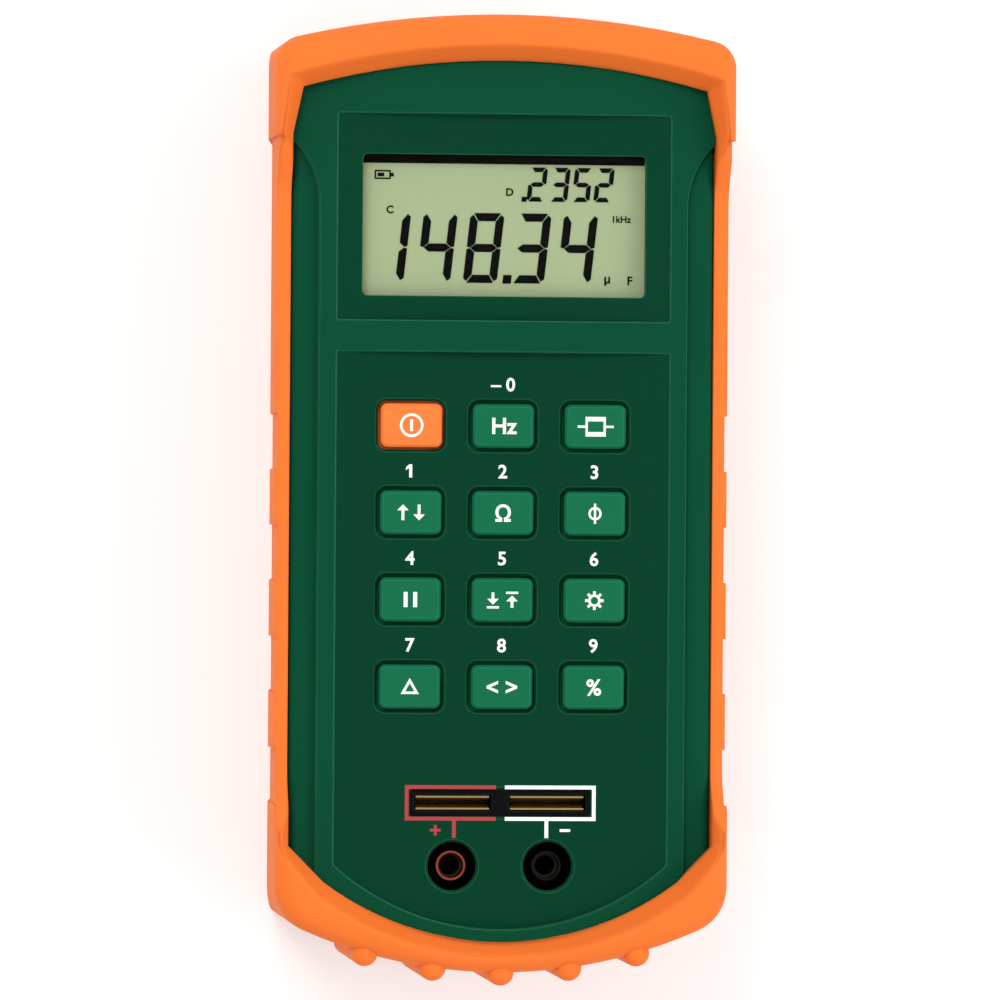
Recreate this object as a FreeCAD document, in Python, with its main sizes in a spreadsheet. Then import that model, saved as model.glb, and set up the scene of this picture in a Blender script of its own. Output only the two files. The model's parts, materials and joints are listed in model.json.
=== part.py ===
"""Component tester in a rubber boot, on its back: +Z out of the face, +Y to the display end."""
import FreeCAD, Part
import math
import os
import re

import Sketcher

DRIVING = {
    # Case in plan
    "case_width": 84.0,
    "case_top": 93.0,
    "case_bottom": 90.4,
    "case_top_bow": 179.0,
    "case_bottom_bow": 94.0,
    "case_corner": 6.0,
    # Case heights and walls
    "part_line": 30.0,
    "face_rise": 18.0,
    "crown_radius": 350.0,
    "nose_start": 74.0,
    "nose_radius": 110.0,
    "side_draft": 6.0,
    "shell_wall": 2.2,
    "shell_floor": 2.4,
    "back_round": 3.0,
    "tongue_rise": 1.5,
    "tongue_gap": 0.15,
    # Lowered flanks beside the panels
    "flank_edge": 36.6,
    "flank_drop": 3.4,
    "flank_end": 58.2,
    "flank_sweep": 17.3,
    "flank_round": 1.6,
    # Sunk panels of the face
    "panel_width": 66.4,
    "panel_depth": 1.8,
    "panel_roof": 2.0,
    "panel_corner": 0.6,
    "display_low": 35.4,
    "display_high": 76.4,
    "keypad_high": 29.3,
    "keypad_side_low": 72.3,
    "keypad_low": 85.1,
    "rim_bevel": 0.45,
    # Display
    "view_length": 56.3,
    "view_width": 28.0,
    "view_y": 54.3,
    "view_corner": 1.0,
    "lens_lap": 2.6,
    "lens_rebate": 0.5,
    "lens_thick": 1.5,
    "lens_gap": 0.15,
    "frame_wall": 1.4,
    "lcd_gap": 0.2,
    "lcd_thick": 2.4,
    "strip_thick": 2.2,
    "strip_gap": 0.3,
    # Keys
    "key_length": 12.1,
    "key_width": 8.6,
    "key_corner": 1.3,
    "key_top_y": 14.65,
    "key_pitch_x": 18.3,
    "key_pitch_y": 17.22,
    "key_proud": 1.3,
    "key_bevel": 0.5,
    "key_gap": 0.55,
    "key_lap": 0.8,
    "key_flange": 1.0,
    "key_rest_gap": 0.1,
    "key_travel": 1.2,
    "key_floor_gap": 0.3,
    "key_space": 6.6,
    "stem_length": 8.4,
    "stem_width": 5.2,
    "mat_thick": 1.2,
    "mat_margin": 2.6,
    "mat_window_gap": 0.8,
    "skirt_wall": 0.5,
    # Board
    "board_thick": 1.6,
    "board_width": 65.0,
    "board_high": 76.0,
    "board_low": 62.0,
    "board_tab_width": 44.0,
    "board_tab_low": 80.5,
    "board_boss_x": 29.8,
    "board_boss_high_y": 26.0,
    "board_boss_low_y": 49.0,
    "board_boss_diameter": 5.0,
    "board_screw_diameter": 2.0,
    "board_screw_head": 3.8,
    "board_head_thick": 1.4,
    "board_screw_bite": 4.5,
    "screw_fit": 0.05,
    "chip_side": 14.0,
    "chip_thick": 2.0,
    "chip_x": 6.0,
    "chip_y": 12.0,
    "buzzer_diameter": 14.0,
    "buzzer_thick": 6.0,
    "buzzer_x": -18.0,
    "buzzer_y": 34.0,
    # Component slot
    "slot_length": 36.0,
    "slot_width": 5.4,
    "slot_corner": 0.8,
    "slot_y": 60.0,
    "insert_gap": 0.1,
    "insert_sink": 0.6,
    "insert_lap": 1.8,
    "insert_flange": 1.5,
    "leg_slot_length": 15.4,
    "leg_slot_width": 3.2,
    "leg_slot_x": 9.4,
    "leaf_length": 14.6,
    "leaf_thick": 0.35,
    "leaf_reach": 7.2,
    "leaf_bow": 8.0,
    "leaf_gap": 0.3,
    # Jacks
    "jack_pitch": 19.05,
    "jack_y": 72.5,
    "shroud_bore": 9.7,
    "shroud_wall": 1.3,
    "shroud_lap": 1.0,
    "shroud_flange": 1.5,
    "shroud_depth": 19.0,
    "shroud_floor": 1.6,
    "post_diameter": 5.9,
    "post_sink": 3.0,
    "plug_bore": 4.0,
    "sleeve_wall": 0.45,
    "sleeve_fit": 0.05,
    "sleeve_sink": 2.5,
    "sleeve_tail": 3.0,
    "sleeve_tail_diameter": 6.4,
    "jack_board_gap": 0.5,
    # Case screws and their posts
    "post_high_x": 32.0,
    "post_high_y": 82.0,
    "post_low_x": 28.0,
    "post_low_y": 70.0,
    "front_post": 6.0,
    "rear_post": 7.4,
    "case_screw_diameter": 2.8,
    "case_screw_head": 5.4,
    "case_head_thick": 2.2,
    "case_screw_bite": 8.0,
    "head_gap": 0.3,
    "screw_seat": 16.0,
    # Battery bay, door and cell
    "bay_y": 36.0,
    "bay_roof": 1.5,
    "bay_wall": 2.4,
    "door_thick": 2.0,
    "door_gap": 0.15,
    "door_lap": 3.0,
    "door_screw_lap": 8.0,
    "door_corner": 1.5,
    "tab_length": 1.5,
    "tab_width": 8.0,
    "tab_thick": 0.9,
    "tab_x": 16.0,
    "door_screw_diameter": 2.8,
    "door_screw_head": 5.2,
    "door_head_thick": 1.2,
    "door_screw_bite": 7.0,
    "foam_thick": 1.0,
    "cell_length": 46.4,
    "cell_width": 26.4,
    "cell_height": 17.4,
    "cell_round": 2.0,
    "cell_end_gap": 1.6,
    "cell_side_gap": 1.0,
    "cell_top_gap": 0.6,
    "stud_diameter": 7.6,
    "stud_height": 2.2,
    "stud_pitch": 12.7,
    "stud_gap": 0.1,
    "snap_thick": 4.2,
    "snap_width": 25.0,
    "snap_height": 12.5,
    "lead_diameter": 1.3,
    "lead_spread": 3.0,
    "lead_bend": 2.0,
    "lead_room": 2.7,
    "lead_hole": 2.6,
    # Tilt stand
    "stand_width": 40.0,
    "stand_reach": 58.0,
    "stand_axis_y": 52.0,
    "stand_thick": 3.0,
    "stand_corner": 6.0,
    "stand_window_width": 22.0,
    "stand_window_length": 32.0,
    "stand_window_y": 26.0,
    "stand_window_corner": 3.0,
    "stand_sink": 0.4,
    "stand_gap": 0.5,
    "stand_wall": 2.4,
    "stand_recess": 6.4,
    "barrel_radius": 2.4,
    "pin_radius": 1.3,
    "pin_length": 2.0,
    "pin_fit": 0.06,
    # Boot
    "boot_wall": 3.0,
    "boot_gap": 0.15,
    "boot_floor": 2.2,
    "boot_top_corner": 5.6,
    "boot_low_corner": 9.5,
    "boot_round": 2.5,
    "lip_rise": 4.5,
    "lip_round": 4.2,
    "lip_slope": 3.0,
    "open_top": 86.9,
    "open_top_bow": 148.5,
    "open_shoulder": 40.2,
    "open_side": 42.2,
    "open_side_high": 72.0,
    "open_side_low": 68.5,
    "open_heel": 35.2,
    "open_low": 87.3,
    "open_low_bow": 59.0,
    "side_height": 44.0,
    "ramp_high": 61.0,
    "ramp_high_run": 15.0,
    "ramp_low": 55.0,
    "ramp_low_run": 16.0,
    "ramp_round": 9.0,
    "back_open_half": 31.0,
    "back_open_high": 68.0,
    "back_open_low": 66.0,
    "back_open_corner": 8.0,
    "grip_depth": 0.5,
    "grip_length": 11.0,
    "grip_pitch": 22.1,
    "grip_low": 60.4,
    "grip_base": 5.0,
    "bumper_proud": 0.75,
    "bumper_root": 4.0,
    "bumper_low": 71.5,
    "bump_radius": 2.6,
    "bump_pitch": 13.5,
    "bump_base": 7.0,
    "bump_top": 44.0,
}

BACK = "(boot_floor + boot_gap)"
FACE = "(part_line + face_rise)"
PANEL = "(part_line + face_rise - panel_depth)"
ROOF = "(part_line + face_rise - panel_depth - panel_roof)"
BOARD_TOP = "(%s - key_space)" % ROOF
BOARD_BOTTOM = "(%s - board_thick)" % BOARD_TOP
LENS_TOP = "(%s + lens_rebate)" % ROOF
LENS_BOTTOM = "(%s - lens_thick)" % LENS_TOP
LCD_BOTTOM = "(%s - lcd_gap - lcd_thick)" % LENS_BOTTOM
LENS_LENGTH = "(view_length + 2 * lens_lap)"
LENS_WIDTH = "(view_width + 2 * lens_lap)"
LCD_LENGTH = "(%s - 2 * frame_wall - 2 * lens_gap)" % LENS_LENGTH
LCD_WIDTH = "(%s - 2 * frame_wall - 2 * lens_gap)" % LENS_WIDTH
LIP = "(part_line + face_rise + lip_rise)"
BOOT_HALF = "(case_width / 2 + boot_wall)"
BUMPER_HALF = "(case_width / 2 + boot_wall + bumper_proud)"
BAY_LENGTH = "(cell_end_gap + cell_length + stud_gap + snap_thick + lead_bend + lead_room)"
BAY_WIDTH = "(cell_width + 2 * cell_side_gap)"
BAY_HEIGHT = "(door_thick + foam_thick + cell_height + cell_top_gap)"
STAND_BOTTOM = "(%s + stand_sink)" % BACK
STAND_AXIS_Z = "(%s + barrel_radius)" % STAND_BOTTOM
BOARD_PILOT = "(board_screw_diameter + 2 * screw_fit)"
KEY_ROWS = 4
KEY_COLUMNS = 3
KEY_NAMES = (
    ("key_power", "key_frequency", "key_mode"),
    ("key_range", "key_quantity", "key_quality"),
    ("key_hold", "key_extremes", "key_setup"),
    ("key_relative", "key_limits", "key_tolerance"),
)
CLOCKWISE = -1
SIDES = (1, -1)
PAST = "2"
SEAM = "0.01"
WORD = re.compile(r"[a-z]+(?:_[a-z]+)*")
TOUCH = 1e-4
NEAR = 0.5

doc = FreeCAD.newDocument("component_tester")
sheet = doc.addObject("Spreadsheet::Sheet", "dims")
for row, (alias, size) in enumerate(DRIVING.items(), 1):
    sheet.set("A%d" % row, alias)
    sheet.set("B%d" % row, str(size))
    sheet.setAlias("B%d" % row, alias)
doc.recompute()


def bound(text):
    """The expression with the sheet named before each driving size."""
    return WORD.sub(lambda word: "dims." + word.group() if word.group() in DRIVING else word.group(), text)


def number(text):
    """The present value of an expression."""
    return float(sheet.evalExpression(bound(text)))


def minus(text):
    """The expression with its sign turned."""
    return "(-(%s))" % text


def signed(side, text):
    """The expression, turned for the left-hand side."""
    return text if side > 0 else minus(text)


def origin_part(body, role):
    """The body's own origin plane or axis with the given role."""
    return [(part, [""]) for part in body.Origin.OriginFeatures if part.Role == role][0]


def feature(body, kind, name):
    """A new feature at the end of the body."""
    made = body.newObject("PartDesign::" + kind, name)
    body.Tip = made
    return made


def start_body(name):
    """A new, empty body."""
    return doc.addObject("PartDesign::Body", name)


def sketch(body, name, level="0", plane="XY_Plane", along="0"):
    """An empty sketch on an origin plane, raised along its normal and shifted along its first axis."""
    made = body.newObject("Sketcher::SketchObject", name)
    made.AttachmentSupport = origin_part(body, plane)
    made.MapMode = "FlatFace"
    made.setExpression("AttachmentOffset.Base.z", bound(level))
    made.setExpression("AttachmentOffset.Base.x", bound(along))
    return made


def arc_between(start, end, radius, turn):
    """The minor arc from start to end, and whether it is stored with its ends swapped."""
    chord = end - start
    rise = math.sqrt(max(radius ** 2 - chord.Length ** 2 / 4, 0.0))
    left = FreeCAD.Vector(-chord.y, chord.x, 0).normalize()
    centre = (start + end) / 2 + left * rise * turn
    first, last = (start, end) if turn > 0 else (end, start)
    first_angle = math.atan2(first.y - centre.y, first.x - centre.x)
    last_angle = math.atan2(last.y - centre.y, last.x - centre.x)
    if last_angle < first_angle:
        last_angle += 2 * math.pi
    circle = Part.Circle(centre, FreeCAD.Vector(0, 0, 1), radius)
    return Part.ArcOfCircle(circle, first_angle, last_angle), turn < 0


def fix(made, constraint, text):
    """Adds a dimension and ties it to its expression."""
    index = made.addConstraint(constraint)
    made.setExpression("Constraints[%d]" % index, bound(text))


def trace(made, corners):
    """Adds a closed outline; a corner with a radius starts an arc to the next, turning left unless told."""
    points = [FreeCAD.Vector(number(corner[0]), number(corner[1]), 0) for corner in corners]
    pieces = []
    for index, corner in enumerate(corners):
        start, end = points[index], points[(index + 1) % len(points)]
        swapped = False
        shape = None
        if len(corner) > 2:
            turn = corner[3] if len(corner) > 3 else 1
            shape, swapped = arc_between(start, end, number(corner[2]), turn)
        else:
            shape = Part.LineSegment(start, end)
        pieces.append((made.addGeometry(shape, False), 2 if swapped else 1, 1 if swapped else 2))
    for index, corner in enumerate(corners):
        piece, first, last = pieces[index]
        following, following_first, _ = pieces[(index + 1) % len(pieces)]
        made.addConstraint(Sketcher.Constraint("Coincident", piece, last, following, following_first))
        fix(made, Sketcher.Constraint("DistanceX", -1, 1, piece, first, points[index].x), corner[0])
        fix(made, Sketcher.Constraint("DistanceY", -1, 1, piece, first, points[index].y), corner[1])
        if len(corner) > 2:
            fix(made, Sketcher.Constraint("Radius", piece, number(corner[2])), corner[2])
    return made


def ring(made, x, y, radius):
    """Adds a circle."""
    centre = FreeCAD.Vector(number(x), number(y), 0)
    piece = made.addGeometry(Part.Circle(centre, FreeCAD.Vector(0, 0, 1), number(radius)), False)
    fix(made, Sketcher.Constraint("DistanceX", -1, 1, piece, 3, centre.x), x)
    fix(made, Sketcher.Constraint("DistanceY", -1, 1, piece, 3, centre.y), y)
    fix(made, Sketcher.Constraint("Radius", piece, number(radius)), radius)
    return made


def oblong(x, y, length, width, corner):
    """Corners of a rectangle with rounded corners about a centre."""
    right = "(%s) + (%s) / 2" % (x, length)
    left = "(%s) - (%s) / 2" % (x, length)
    high = "(%s) + (%s) / 2" % (y, width)
    low = "(%s) - (%s) / 2" % (y, width)
    return [
        ("%s + %s" % (left, corner), low),
        ("%s - %s" % (right, corner), low, corner),
        (right, "%s + %s" % (low, corner)),
        (right, "%s - %s" % (high, corner), corner),
        ("%s - %s" % (right, corner), high),
        ("%s + %s" % (left, corner), high, corner),
        (left, "%s - %s" % (high, corner)),
        (left, "%s + %s" % (low, corner), corner),
    ]


def box_outline(left, low, right, high):
    """Corners of a plain rectangle between its sides."""
    return [(left, low), (right, low), (right, high), (left, high)]


def grow(body, profile, length, down=False, both=False):
    """Raises a profile off its plane into solid material."""
    made = feature(body, "Pad", profile.Name + "_solid")
    made.Profile = profile
    made.Reversed = down
    if both:
        made.SideType = "Symmetric"
    made.setExpression("Length", bound(length))
    return made


def carve(body, profile, length, up=False, both=False):
    """Cuts a profile out of the body, and stops the build if nothing was cut."""
    doc.recompute()
    before = body.Shape.Volume
    made = feature(body, "Pocket", profile.Name + "_cut")
    made.Profile = profile
    made.Reversed = up
    if both:
        made.SideType = "Symmetric"
    made.setExpression("Length", bound(length))
    doc.recompute()
    if not body.Shape.Volume < before:
        raise RuntimeError("nothing was cut by " + profile.Name)
    return made


def hollow(body, core):
    """Cuts another body out of this one."""
    made = feature(body, "Boolean", body.Name + "_hollow")
    made.Type = "Cut"
    made.setObjects([core])
    doc.recompute()
    return made


def spread(body, original, spacing_x, count_x, spacing_y, count_y):
    """Repeats a feature in a grid along X and Y."""
    made = feature(body, "LinearPattern", original.Name + "_grid")
    made.Originals = [original]
    made.Direction = origin_part(body, "X_Axis")
    made.Direction2 = origin_part(body, "Y_Axis")
    made.Mode = "Spacing"
    made.Mode2 = "Spacing"
    made.setExpression("Offset", bound(spacing_x))
    made.setExpression("Offset2", bound(spacing_y))
    made.Occurrences = count_x
    made.Occurrences2 = count_y
    made.Spacings2 = [-1.0] * (count_y - 1)
    doc.recompute()
    return made


def picked_edges(body, kind, wanted):
    """A new edge feature of the body on the edges that the test picks."""
    doc.recompute()
    base = body.Tip
    names = ["Edge%d" % index for index, edge in enumerate(base.Shape.Edges, 1) if wanted(edge)]
    if not names:
        raise RuntimeError("no edge was picked on " + body.Name)
    made = feature(body, kind, body.Name + "_edges")
    made.Base = (base, names)
    return made


def soften(body, radius, wanted):
    """Rounds the edges of the body that the test picks."""
    made = picked_edges(body, "Fillet", wanted)
    made.setExpression("Radius", bound(radius))
    doc.recompute()


def bevel(body, size, wanted):
    """Bevels the edges of the body that the test picks."""
    made = picked_edges(body, "Chamfer", wanted)
    made.setExpression("Size", bound(size))
    doc.recompute()


def at_level(edge, level):
    """Whether an edge lies in the level plane at this height."""
    return abs(edge.BoundBox.ZMin - level) < TOUCH and abs(edge.BoundBox.ZMax - level) < TOUCH


def spun(name, x, y, corners):
    """A body turned about the upright axis through (x, y) from a profile of (radius, height) corners."""
    body = start_body(name)
    profile = trace(sketch(body, name + "_profile", minus(y), "XZ_Plane", x), corners)
    made = feature(body, "Revolution", name + "_turned")
    made.Profile = profile
    made.ReferenceAxis = (profile, ["V_Axis"])
    made.Angle = 360
    return body


def block(name, x, y, base, length, width, height):
    """A plain box about a centre line."""
    made = doc.addObject("Part::Box", name)
    made.setExpression("Length", bound(length))
    made.setExpression("Width", bound(width))
    made.setExpression("Height", bound(height))
    made.setExpression("Placement.Base.x", bound("(%s) - (%s) / 2" % (x, length)))
    made.setExpression("Placement.Base.y", bound("(%s) - (%s) / 2" % (y, width)))
    made.setExpression("Placement.Base.z", bound(base))
    return made


def together(name, members):
    """Several loose solids as one piece."""
    made = doc.addObject("Part::Compound", name)
    made.Links = members
    return made


def bow_corner(half, apex, bow, corner, inset):
    """Where a corner round meets the bowed end (x, y) and the straight side (y)."""
    reach = "sqrt((%s - %s)^2 - (%s - %s)^2)" % (bow, corner, half, corner)
    scale = "(%s - %s) / (%s - %s)" % (bow, inset, bow, corner)
    touch_x = "((%s - %s) * %s)" % (half, corner, scale)
    touch_y = "(%s - %s + %s * %s)" % (apex, bow, reach, scale)
    side_y = "(%s - %s + %s)" % (apex, bow, reach)
    return touch_x, touch_y, side_y


def bowed_plan(half, top, low, inset):
    """Outline with bowed ends; top and low are (apex, bow radius, corner radius)."""
    top_x, top_y, top_side = bow_corner(half, *top, inset)
    low_x, low_y, low_side = bow_corner(half, *low, inset)
    side = "(%s - %s)" % (half, inset)
    top_round = "(%s - %s)" % (top[2], inset)
    low_round = "(%s - %s)" % (low[2], inset)
    return [
        (minus(low_x), minus(low_y), "(%s - %s)" % (low[1], inset)),
        (low_x, minus(low_y), low_round),
        (side, minus(low_side)),
        (side, top_side, top_round),
        (top_x, top_y, "(%s - %s)" % (top[1], inset)),
        (minus(top_x), top_y, top_round),
        (minus(side), top_side),
        (minus(side), minus(low_side), low_round),
    ]


def case_plan(inset):
    """Outline of the case, moved inwards by the inset."""
    top = ("case_top", "case_top_bow", "case_corner")
    low = ("case_bottom", "case_bottom_bow", "case_corner")
    return bowed_plan("case_width / 2", top, low, inset)


def cut_flanks(body, inset):
    """Lowers the two flanks beside the panels."""
    profile = sketch(body, body.Name + "_flanks", FACE + " + " + PAST)
    inner = "(flank_edge - %s)" % inset
    outer = "(case_width / 2 + %s)" % PAST
    sweep = "(flank_sweep + %s)" % inset
    run_out = "(flank_end + sqrt(%s^2 - (%s - (%s - %s))^2))" % (sweep, sweep, outer, inner)
    low = "(-case_bottom - %s)" % PAST
    trace(profile, [(inner, low), (outer, low), (outer, run_out, sweep), (inner, "flank_end")])
    trace(profile, [
        (minus(outer), low), (minus(inner), low), (minus(inner), "flank_end", sweep),
        (minus(outer), run_out),
    ])
    carve(body, profile, "flank_drop + %s + %s" % (PAST, inset))


def upper_block(body, inset, top):
    """Upper half of the case as a solid, moved inwards by the inset."""
    plan = trace(sketch(body, body.Name + "_upper_plan", "part_line"), case_plan(inset))
    grow(body, plan, "%s - part_line" % top)
    cut_flanks(body, inset)


def cut_crown(body, inset):
    """Rounds the face across its width and drops its upper end."""
    half = "(case_width / 2 + %s)" % PAST
    edge = "(%s - crown_radius + sqrt((crown_radius - %s)^2 - %s^2))" % (FACE, inset, half)
    above = "(%s + boot_gap + %s)" % (FACE, PAST)
    across = sketch(body, body.Name + "_crown", plane="XZ_Plane")
    trace(across, [
        (minus(half), edge, "crown_radius - %s" % inset, CLOCKWISE), (half, edge), (half, above),
        (minus(half), above),
    ])
    carve(body, across, "4 * case_top", both=True)
    end = "(case_top + %s)" % PAST
    drop = "(%s - nose_radius + sqrt((nose_radius - %s)^2 - (%s - nose_start)^2))" % (FACE, inset, end)
    nose = sketch(body, body.Name + "_nose", plane="YZ_Plane")
    trace(nose, [
        ("nose_start", "%s - %s" % (FACE, inset), "nose_radius - %s" % inset, CLOCKWISE), (end, drop),
        (end, above), ("nose_start", above),
    ])
    carve(body, nose, "2 * case_width", both=True)


def cut_draft(body, half, base):
    """Leans the long sides inwards below the parting line."""
    profile = sketch(body, body.Name + "_draft", plane="XZ_Plane")
    foot = "(%s - %s)" % (base, PAST)
    inward = "(%s - (part_line - %s) * tan(side_draft))" % (half, foot)
    outer = "(%s + 2 * %s)" % (half, PAST)
    for side in SIDES:
        trace(profile, [
            (signed(side, half), "part_line"), (signed(side, inward), foot), (signed(side, outer), foot),
            (signed(side, outer), "part_line"),
        ])
    carve(body, profile, "4 * case_top", both=True)


def lower_block(body, inset, base, edge_round=None):
    """Lower half of the case as a solid, moved inwards, with its back edge rounded if asked."""
    plan = trace(sketch(body, body.Name + "_lower_plan", "part_line"), case_plan(inset))
    grow(body, plan, "part_line - %s" % base, down=True)
    if edge_round:
        level = number(base)
        soften(body, edge_round, lambda edge: at_level(edge, level))
    cut_draft(body, "(case_width / 2 - %s)" % inset, base)


def screw_places():
    """Centres of the four case screws."""
    for side in SIDES:
        yield signed(side, "post_high_x"), "post_high_y"
        yield signed(side, "post_low_x"), minus("post_low_y")


def board_screw_places():
    """Centres of the four board screws."""
    for side in SIDES:
        yield signed(side, "board_boss_x"), "board_boss_high_y"
        yield signed(side, "board_boss_x"), minus("board_boss_low_y")


def circles(body, name, level, places, diameter):
    """A sketch with one circle at each place."""
    made = sketch(body, name, level)
    for x, y in places:
        ring(made, x, y, "(%s) / 2" % diameter)
    return made


def jack_places():
    """Centres of the two jacks, right-hand first."""
    return [(signed(side, "jack_pitch / 2"), minus("jack_y")) for side in SIDES]


def key_place(row, column):
    """Centre of a key, counted from the upper left."""
    x = "(%d * key_pitch_x)" % (column - 1)
    y = "(key_top_y - %d * key_pitch_y)" % row
    return x, y


HOLE_LENGTH = "(key_length + 2 * key_gap)"
HOLE_WIDTH = "(key_width + 2 * key_gap)"
FLANGE_TOP = "(%s - key_rest_gap)" % ROOF
FLANGE_BOTTOM = "(%s - key_flange)" % FLANGE_TOP
FIRST_KEY = key_place(KEY_ROWS - 1, 0)


def cut_panels(body):
    """Sinks the display panel and the keypad panel into the face."""
    above = "%s + %s" % (FACE, PAST)
    depth = "panel_depth + %s" % PAST
    half = "(panel_width / 2)"
    display = sketch(body, "display_panel", above)
    middle = "((display_low + display_high) / 2)"
    trace(display, oblong("0", middle, "panel_width", "(display_high - display_low)", "panel_corner"))
    carve(body, display, depth)
    sag = "(keypad_low - keypad_side_low)"
    arc = "((%s^2 + %s^2) / (2 * %s))" % (half, sag, sag)
    keypad = sketch(body, "keypad_panel", above)
    side_low = minus("keypad_side_low")
    low = minus("keypad_low")
    trace(keypad, [
        (minus(half), side_low, arc), ("0", low, arc), (half, side_low), (half, "keypad_high"),
        (minus(half), "keypad_high"),
    ])
    carve(body, keypad, depth)


def cut_openings(body):
    """Opens the face for the display, keys, component slot and jacks."""
    through = "panel_roof + %s" % PAST
    view = sketch(body, "view", PANEL)
    carve(body, trace(view, oblong("0", "view_y", "view_length", "view_width", "view_corner")), through)
    seat = sketch(body, "lens_seat", LENS_TOP)
    trace(seat, oblong("0", "view_y", LENS_LENGTH + " + 2 * lens_gap", LENS_WIDTH + " + 2 * lens_gap",
                       "lens_gap"))
    carve(body, seat, "lens_rebate + %s" % PAST)
    hole = sketch(body, "key_hole", PANEL)
    trace(hole, oblong(*FIRST_KEY, HOLE_LENGTH, HOLE_WIDTH, "(key_corner + key_gap)"))
    first = carve(body, hole, through)
    spread(body, first, "key_pitch_x", KEY_COLUMNS, "key_pitch_y", KEY_ROWS)
    slot = sketch(body, "slot", PANEL)
    trace(slot, oblong("0", minus("slot_y"), "slot_length", "slot_width", "slot_corner"))
    carve(body, slot, through)
    carve(body, circles(body, "jack_holes", PANEL, jack_places(), "shroud_bore"), through)


def outer_flank_edge(edge):
    """Whether an edge runs along the outer side of a flank."""
    beside = abs(abs(edge.BoundBox.Center.x) - number("case_width / 2")) < NEAR
    return beside and at_level(edge, number(FACE + " - flank_drop"))


def face_rim(edge):
    """Whether an edge is the rim of a key hole, the component slot or a jack hole."""
    box = edge.BoundBox
    in_width = max(abs(box.XMin), abs(box.XMax)) < number("key_pitch_x + %s / 2 + key_lap" % HOLE_LENGTH)
    below = box.YMax < number("key_top_y + %s / 2 + key_lap" % HOLE_WIDTH)
    above = box.YMin > number("-jack_y - shroud_bore / 2 - key_lap")
    return in_width and below and above and at_level(edge, number(PANEL))


def make_front_cover():
    """Upper half of the case."""
    body = start_body("front_cover")
    upper_block(body, "0", FACE)
    cut_crown(body, "0")
    soften(body, "flank_round", outer_flank_edge)
    cut_panels(body)
    core = start_body("front_core")
    upper_block(core, "shell_wall", ROOF)
    hollow(body, core)
    groove = trace(sketch(body, "groove", "part_line"), case_plan("shell_wall / 2"))
    carve(body, groove, "tongue_rise + tongue_gap", up=True)
    posts = circles(body, "front_posts", "part_line", screw_places(), "front_post")
    grow(body, posts, "%s - part_line" % ROOF)
    pilot = "case_screw_diameter + 2 * screw_fit"
    pilots = circles(body, "front_pilots", "part_line", screw_places(), pilot)
    carve(body, pilots, "case_screw_bite + %s" % PAST, up=True)
    bosses = circles(body, "board_bosses", BOARD_TOP, board_screw_places(), "board_boss_diameter")
    grow(body, bosses, "key_space")
    threads = circles(body, "board_pilots", BOARD_TOP, board_screw_places(), BOARD_PILOT)
    carve(body, threads, "board_screw_bite", up=True)
    cut_openings(body)
    bevel(body, "rim_bevel", face_rim)
    return body


def bay_limits(margin):
    """Sides of the battery door's place, moved outwards by the margin."""
    half = "(%s / 2 + door_lap + %s)" % (BAY_LENGTH, margin)
    low = "(-bay_y - %s / 2 - door_lap - %s)" % (BAY_WIDTH, margin)
    high = "(-bay_y + %s / 2 + door_screw_lap + %s)" % (BAY_WIDTH, margin)
    return minus(half), low, half, high


DOOR_SCREW_Y = "(-bay_y + %s / 2 + door_screw_lap / 2)" % BAY_WIDTH
LEAD_X = "(%s / 2 - lead_room)" % BAY_LENGTH


def cut_bay(body):
    """Builds the battery box and opens it to the back."""
    box = trace(sketch(body, "bay_box", BACK), box_outline(*bay_limits("bay_wall")))
    grow(body, box, "%s + bay_roof" % BAY_HEIGHT)
    limits = bay_limits("0")
    rebate = trace(sketch(body, "door_seat", BACK), box_outline(*limits))
    carve(body, rebate, "door_thick", up=True)
    bay = sketch(body, "bay", BACK)
    trace(bay, oblong("0", minus("bay_y"), BAY_LENGTH, BAY_WIDTH, "door_corner"))
    carve(body, bay, BAY_HEIGHT, up=True)
    tabs = sketch(body, "tab_slots", "%s + door_thick - tab_thick - door_gap" % BACK)
    low, high = "(%s - tab_length - door_gap)" % limits[1], "(%s + %s)" % (limits[1], PAST)
    for side in SIDES:
        middle = signed(side, "tab_x")
        left = "(%s - tab_width / 2 - door_gap)" % middle
        trace(tabs, box_outline(left, low, "(%s + tab_width / 2 + door_gap)" % middle, high))
    carve(body, tabs, "tab_thick + door_gap", up=True)
    pilot = circles(body, "door_pilot", BACK, [("0", DOOR_SCREW_Y)], "door_screw_diameter + 2 * screw_fit")
    carve(body, pilot, "door_thick + door_screw_bite + %s" % PAST, up=True)
    way_out = sketch(body, "lead_hole_plan", "%s + %s - %s" % (BACK, BAY_HEIGHT, PAST))
    hole_length = "(2 * lead_spread + lead_hole)"
    trace(way_out, oblong(LEAD_X, minus("bay_y"), "lead_hole", hole_length, "lead_diameter / 2"))
    carve(body, way_out, "bay_roof + 2 * %s" % PAST, up=True)


def stand_limits(margin):
    """Sides of the tilt stand's recess, moved outwards by the margin."""
    half = "(stand_width / 2 + stand_gap + %s)" % margin
    low = "(stand_axis_y - stand_reach - stand_gap - %s)" % margin
    high = "(stand_axis_y + barrel_radius + stand_gap + %s)" % margin
    return minus(half), low, half, high


def cut_stand_recess(body):
    """Builds the boxed recess of the tilt stand with its two pin holes."""
    box = trace(sketch(body, "stand_box", BACK), box_outline(*stand_limits("stand_wall")))
    grow(body, box, "stand_recess + stand_wall")
    recess = trace(sketch(body, "stand_recess_plan", BACK), box_outline(*stand_limits("0")))
    carve(body, recess, "stand_recess", up=True)
    pins = sketch(body, "pin_holes", plane="YZ_Plane")
    ring(pins, "stand_axis_y", STAND_AXIS_Z, "(pin_radius + pin_fit)")
    carve(body, pins, "stand_width + 2 * (stand_gap + pin_length)", both=True)


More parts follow.
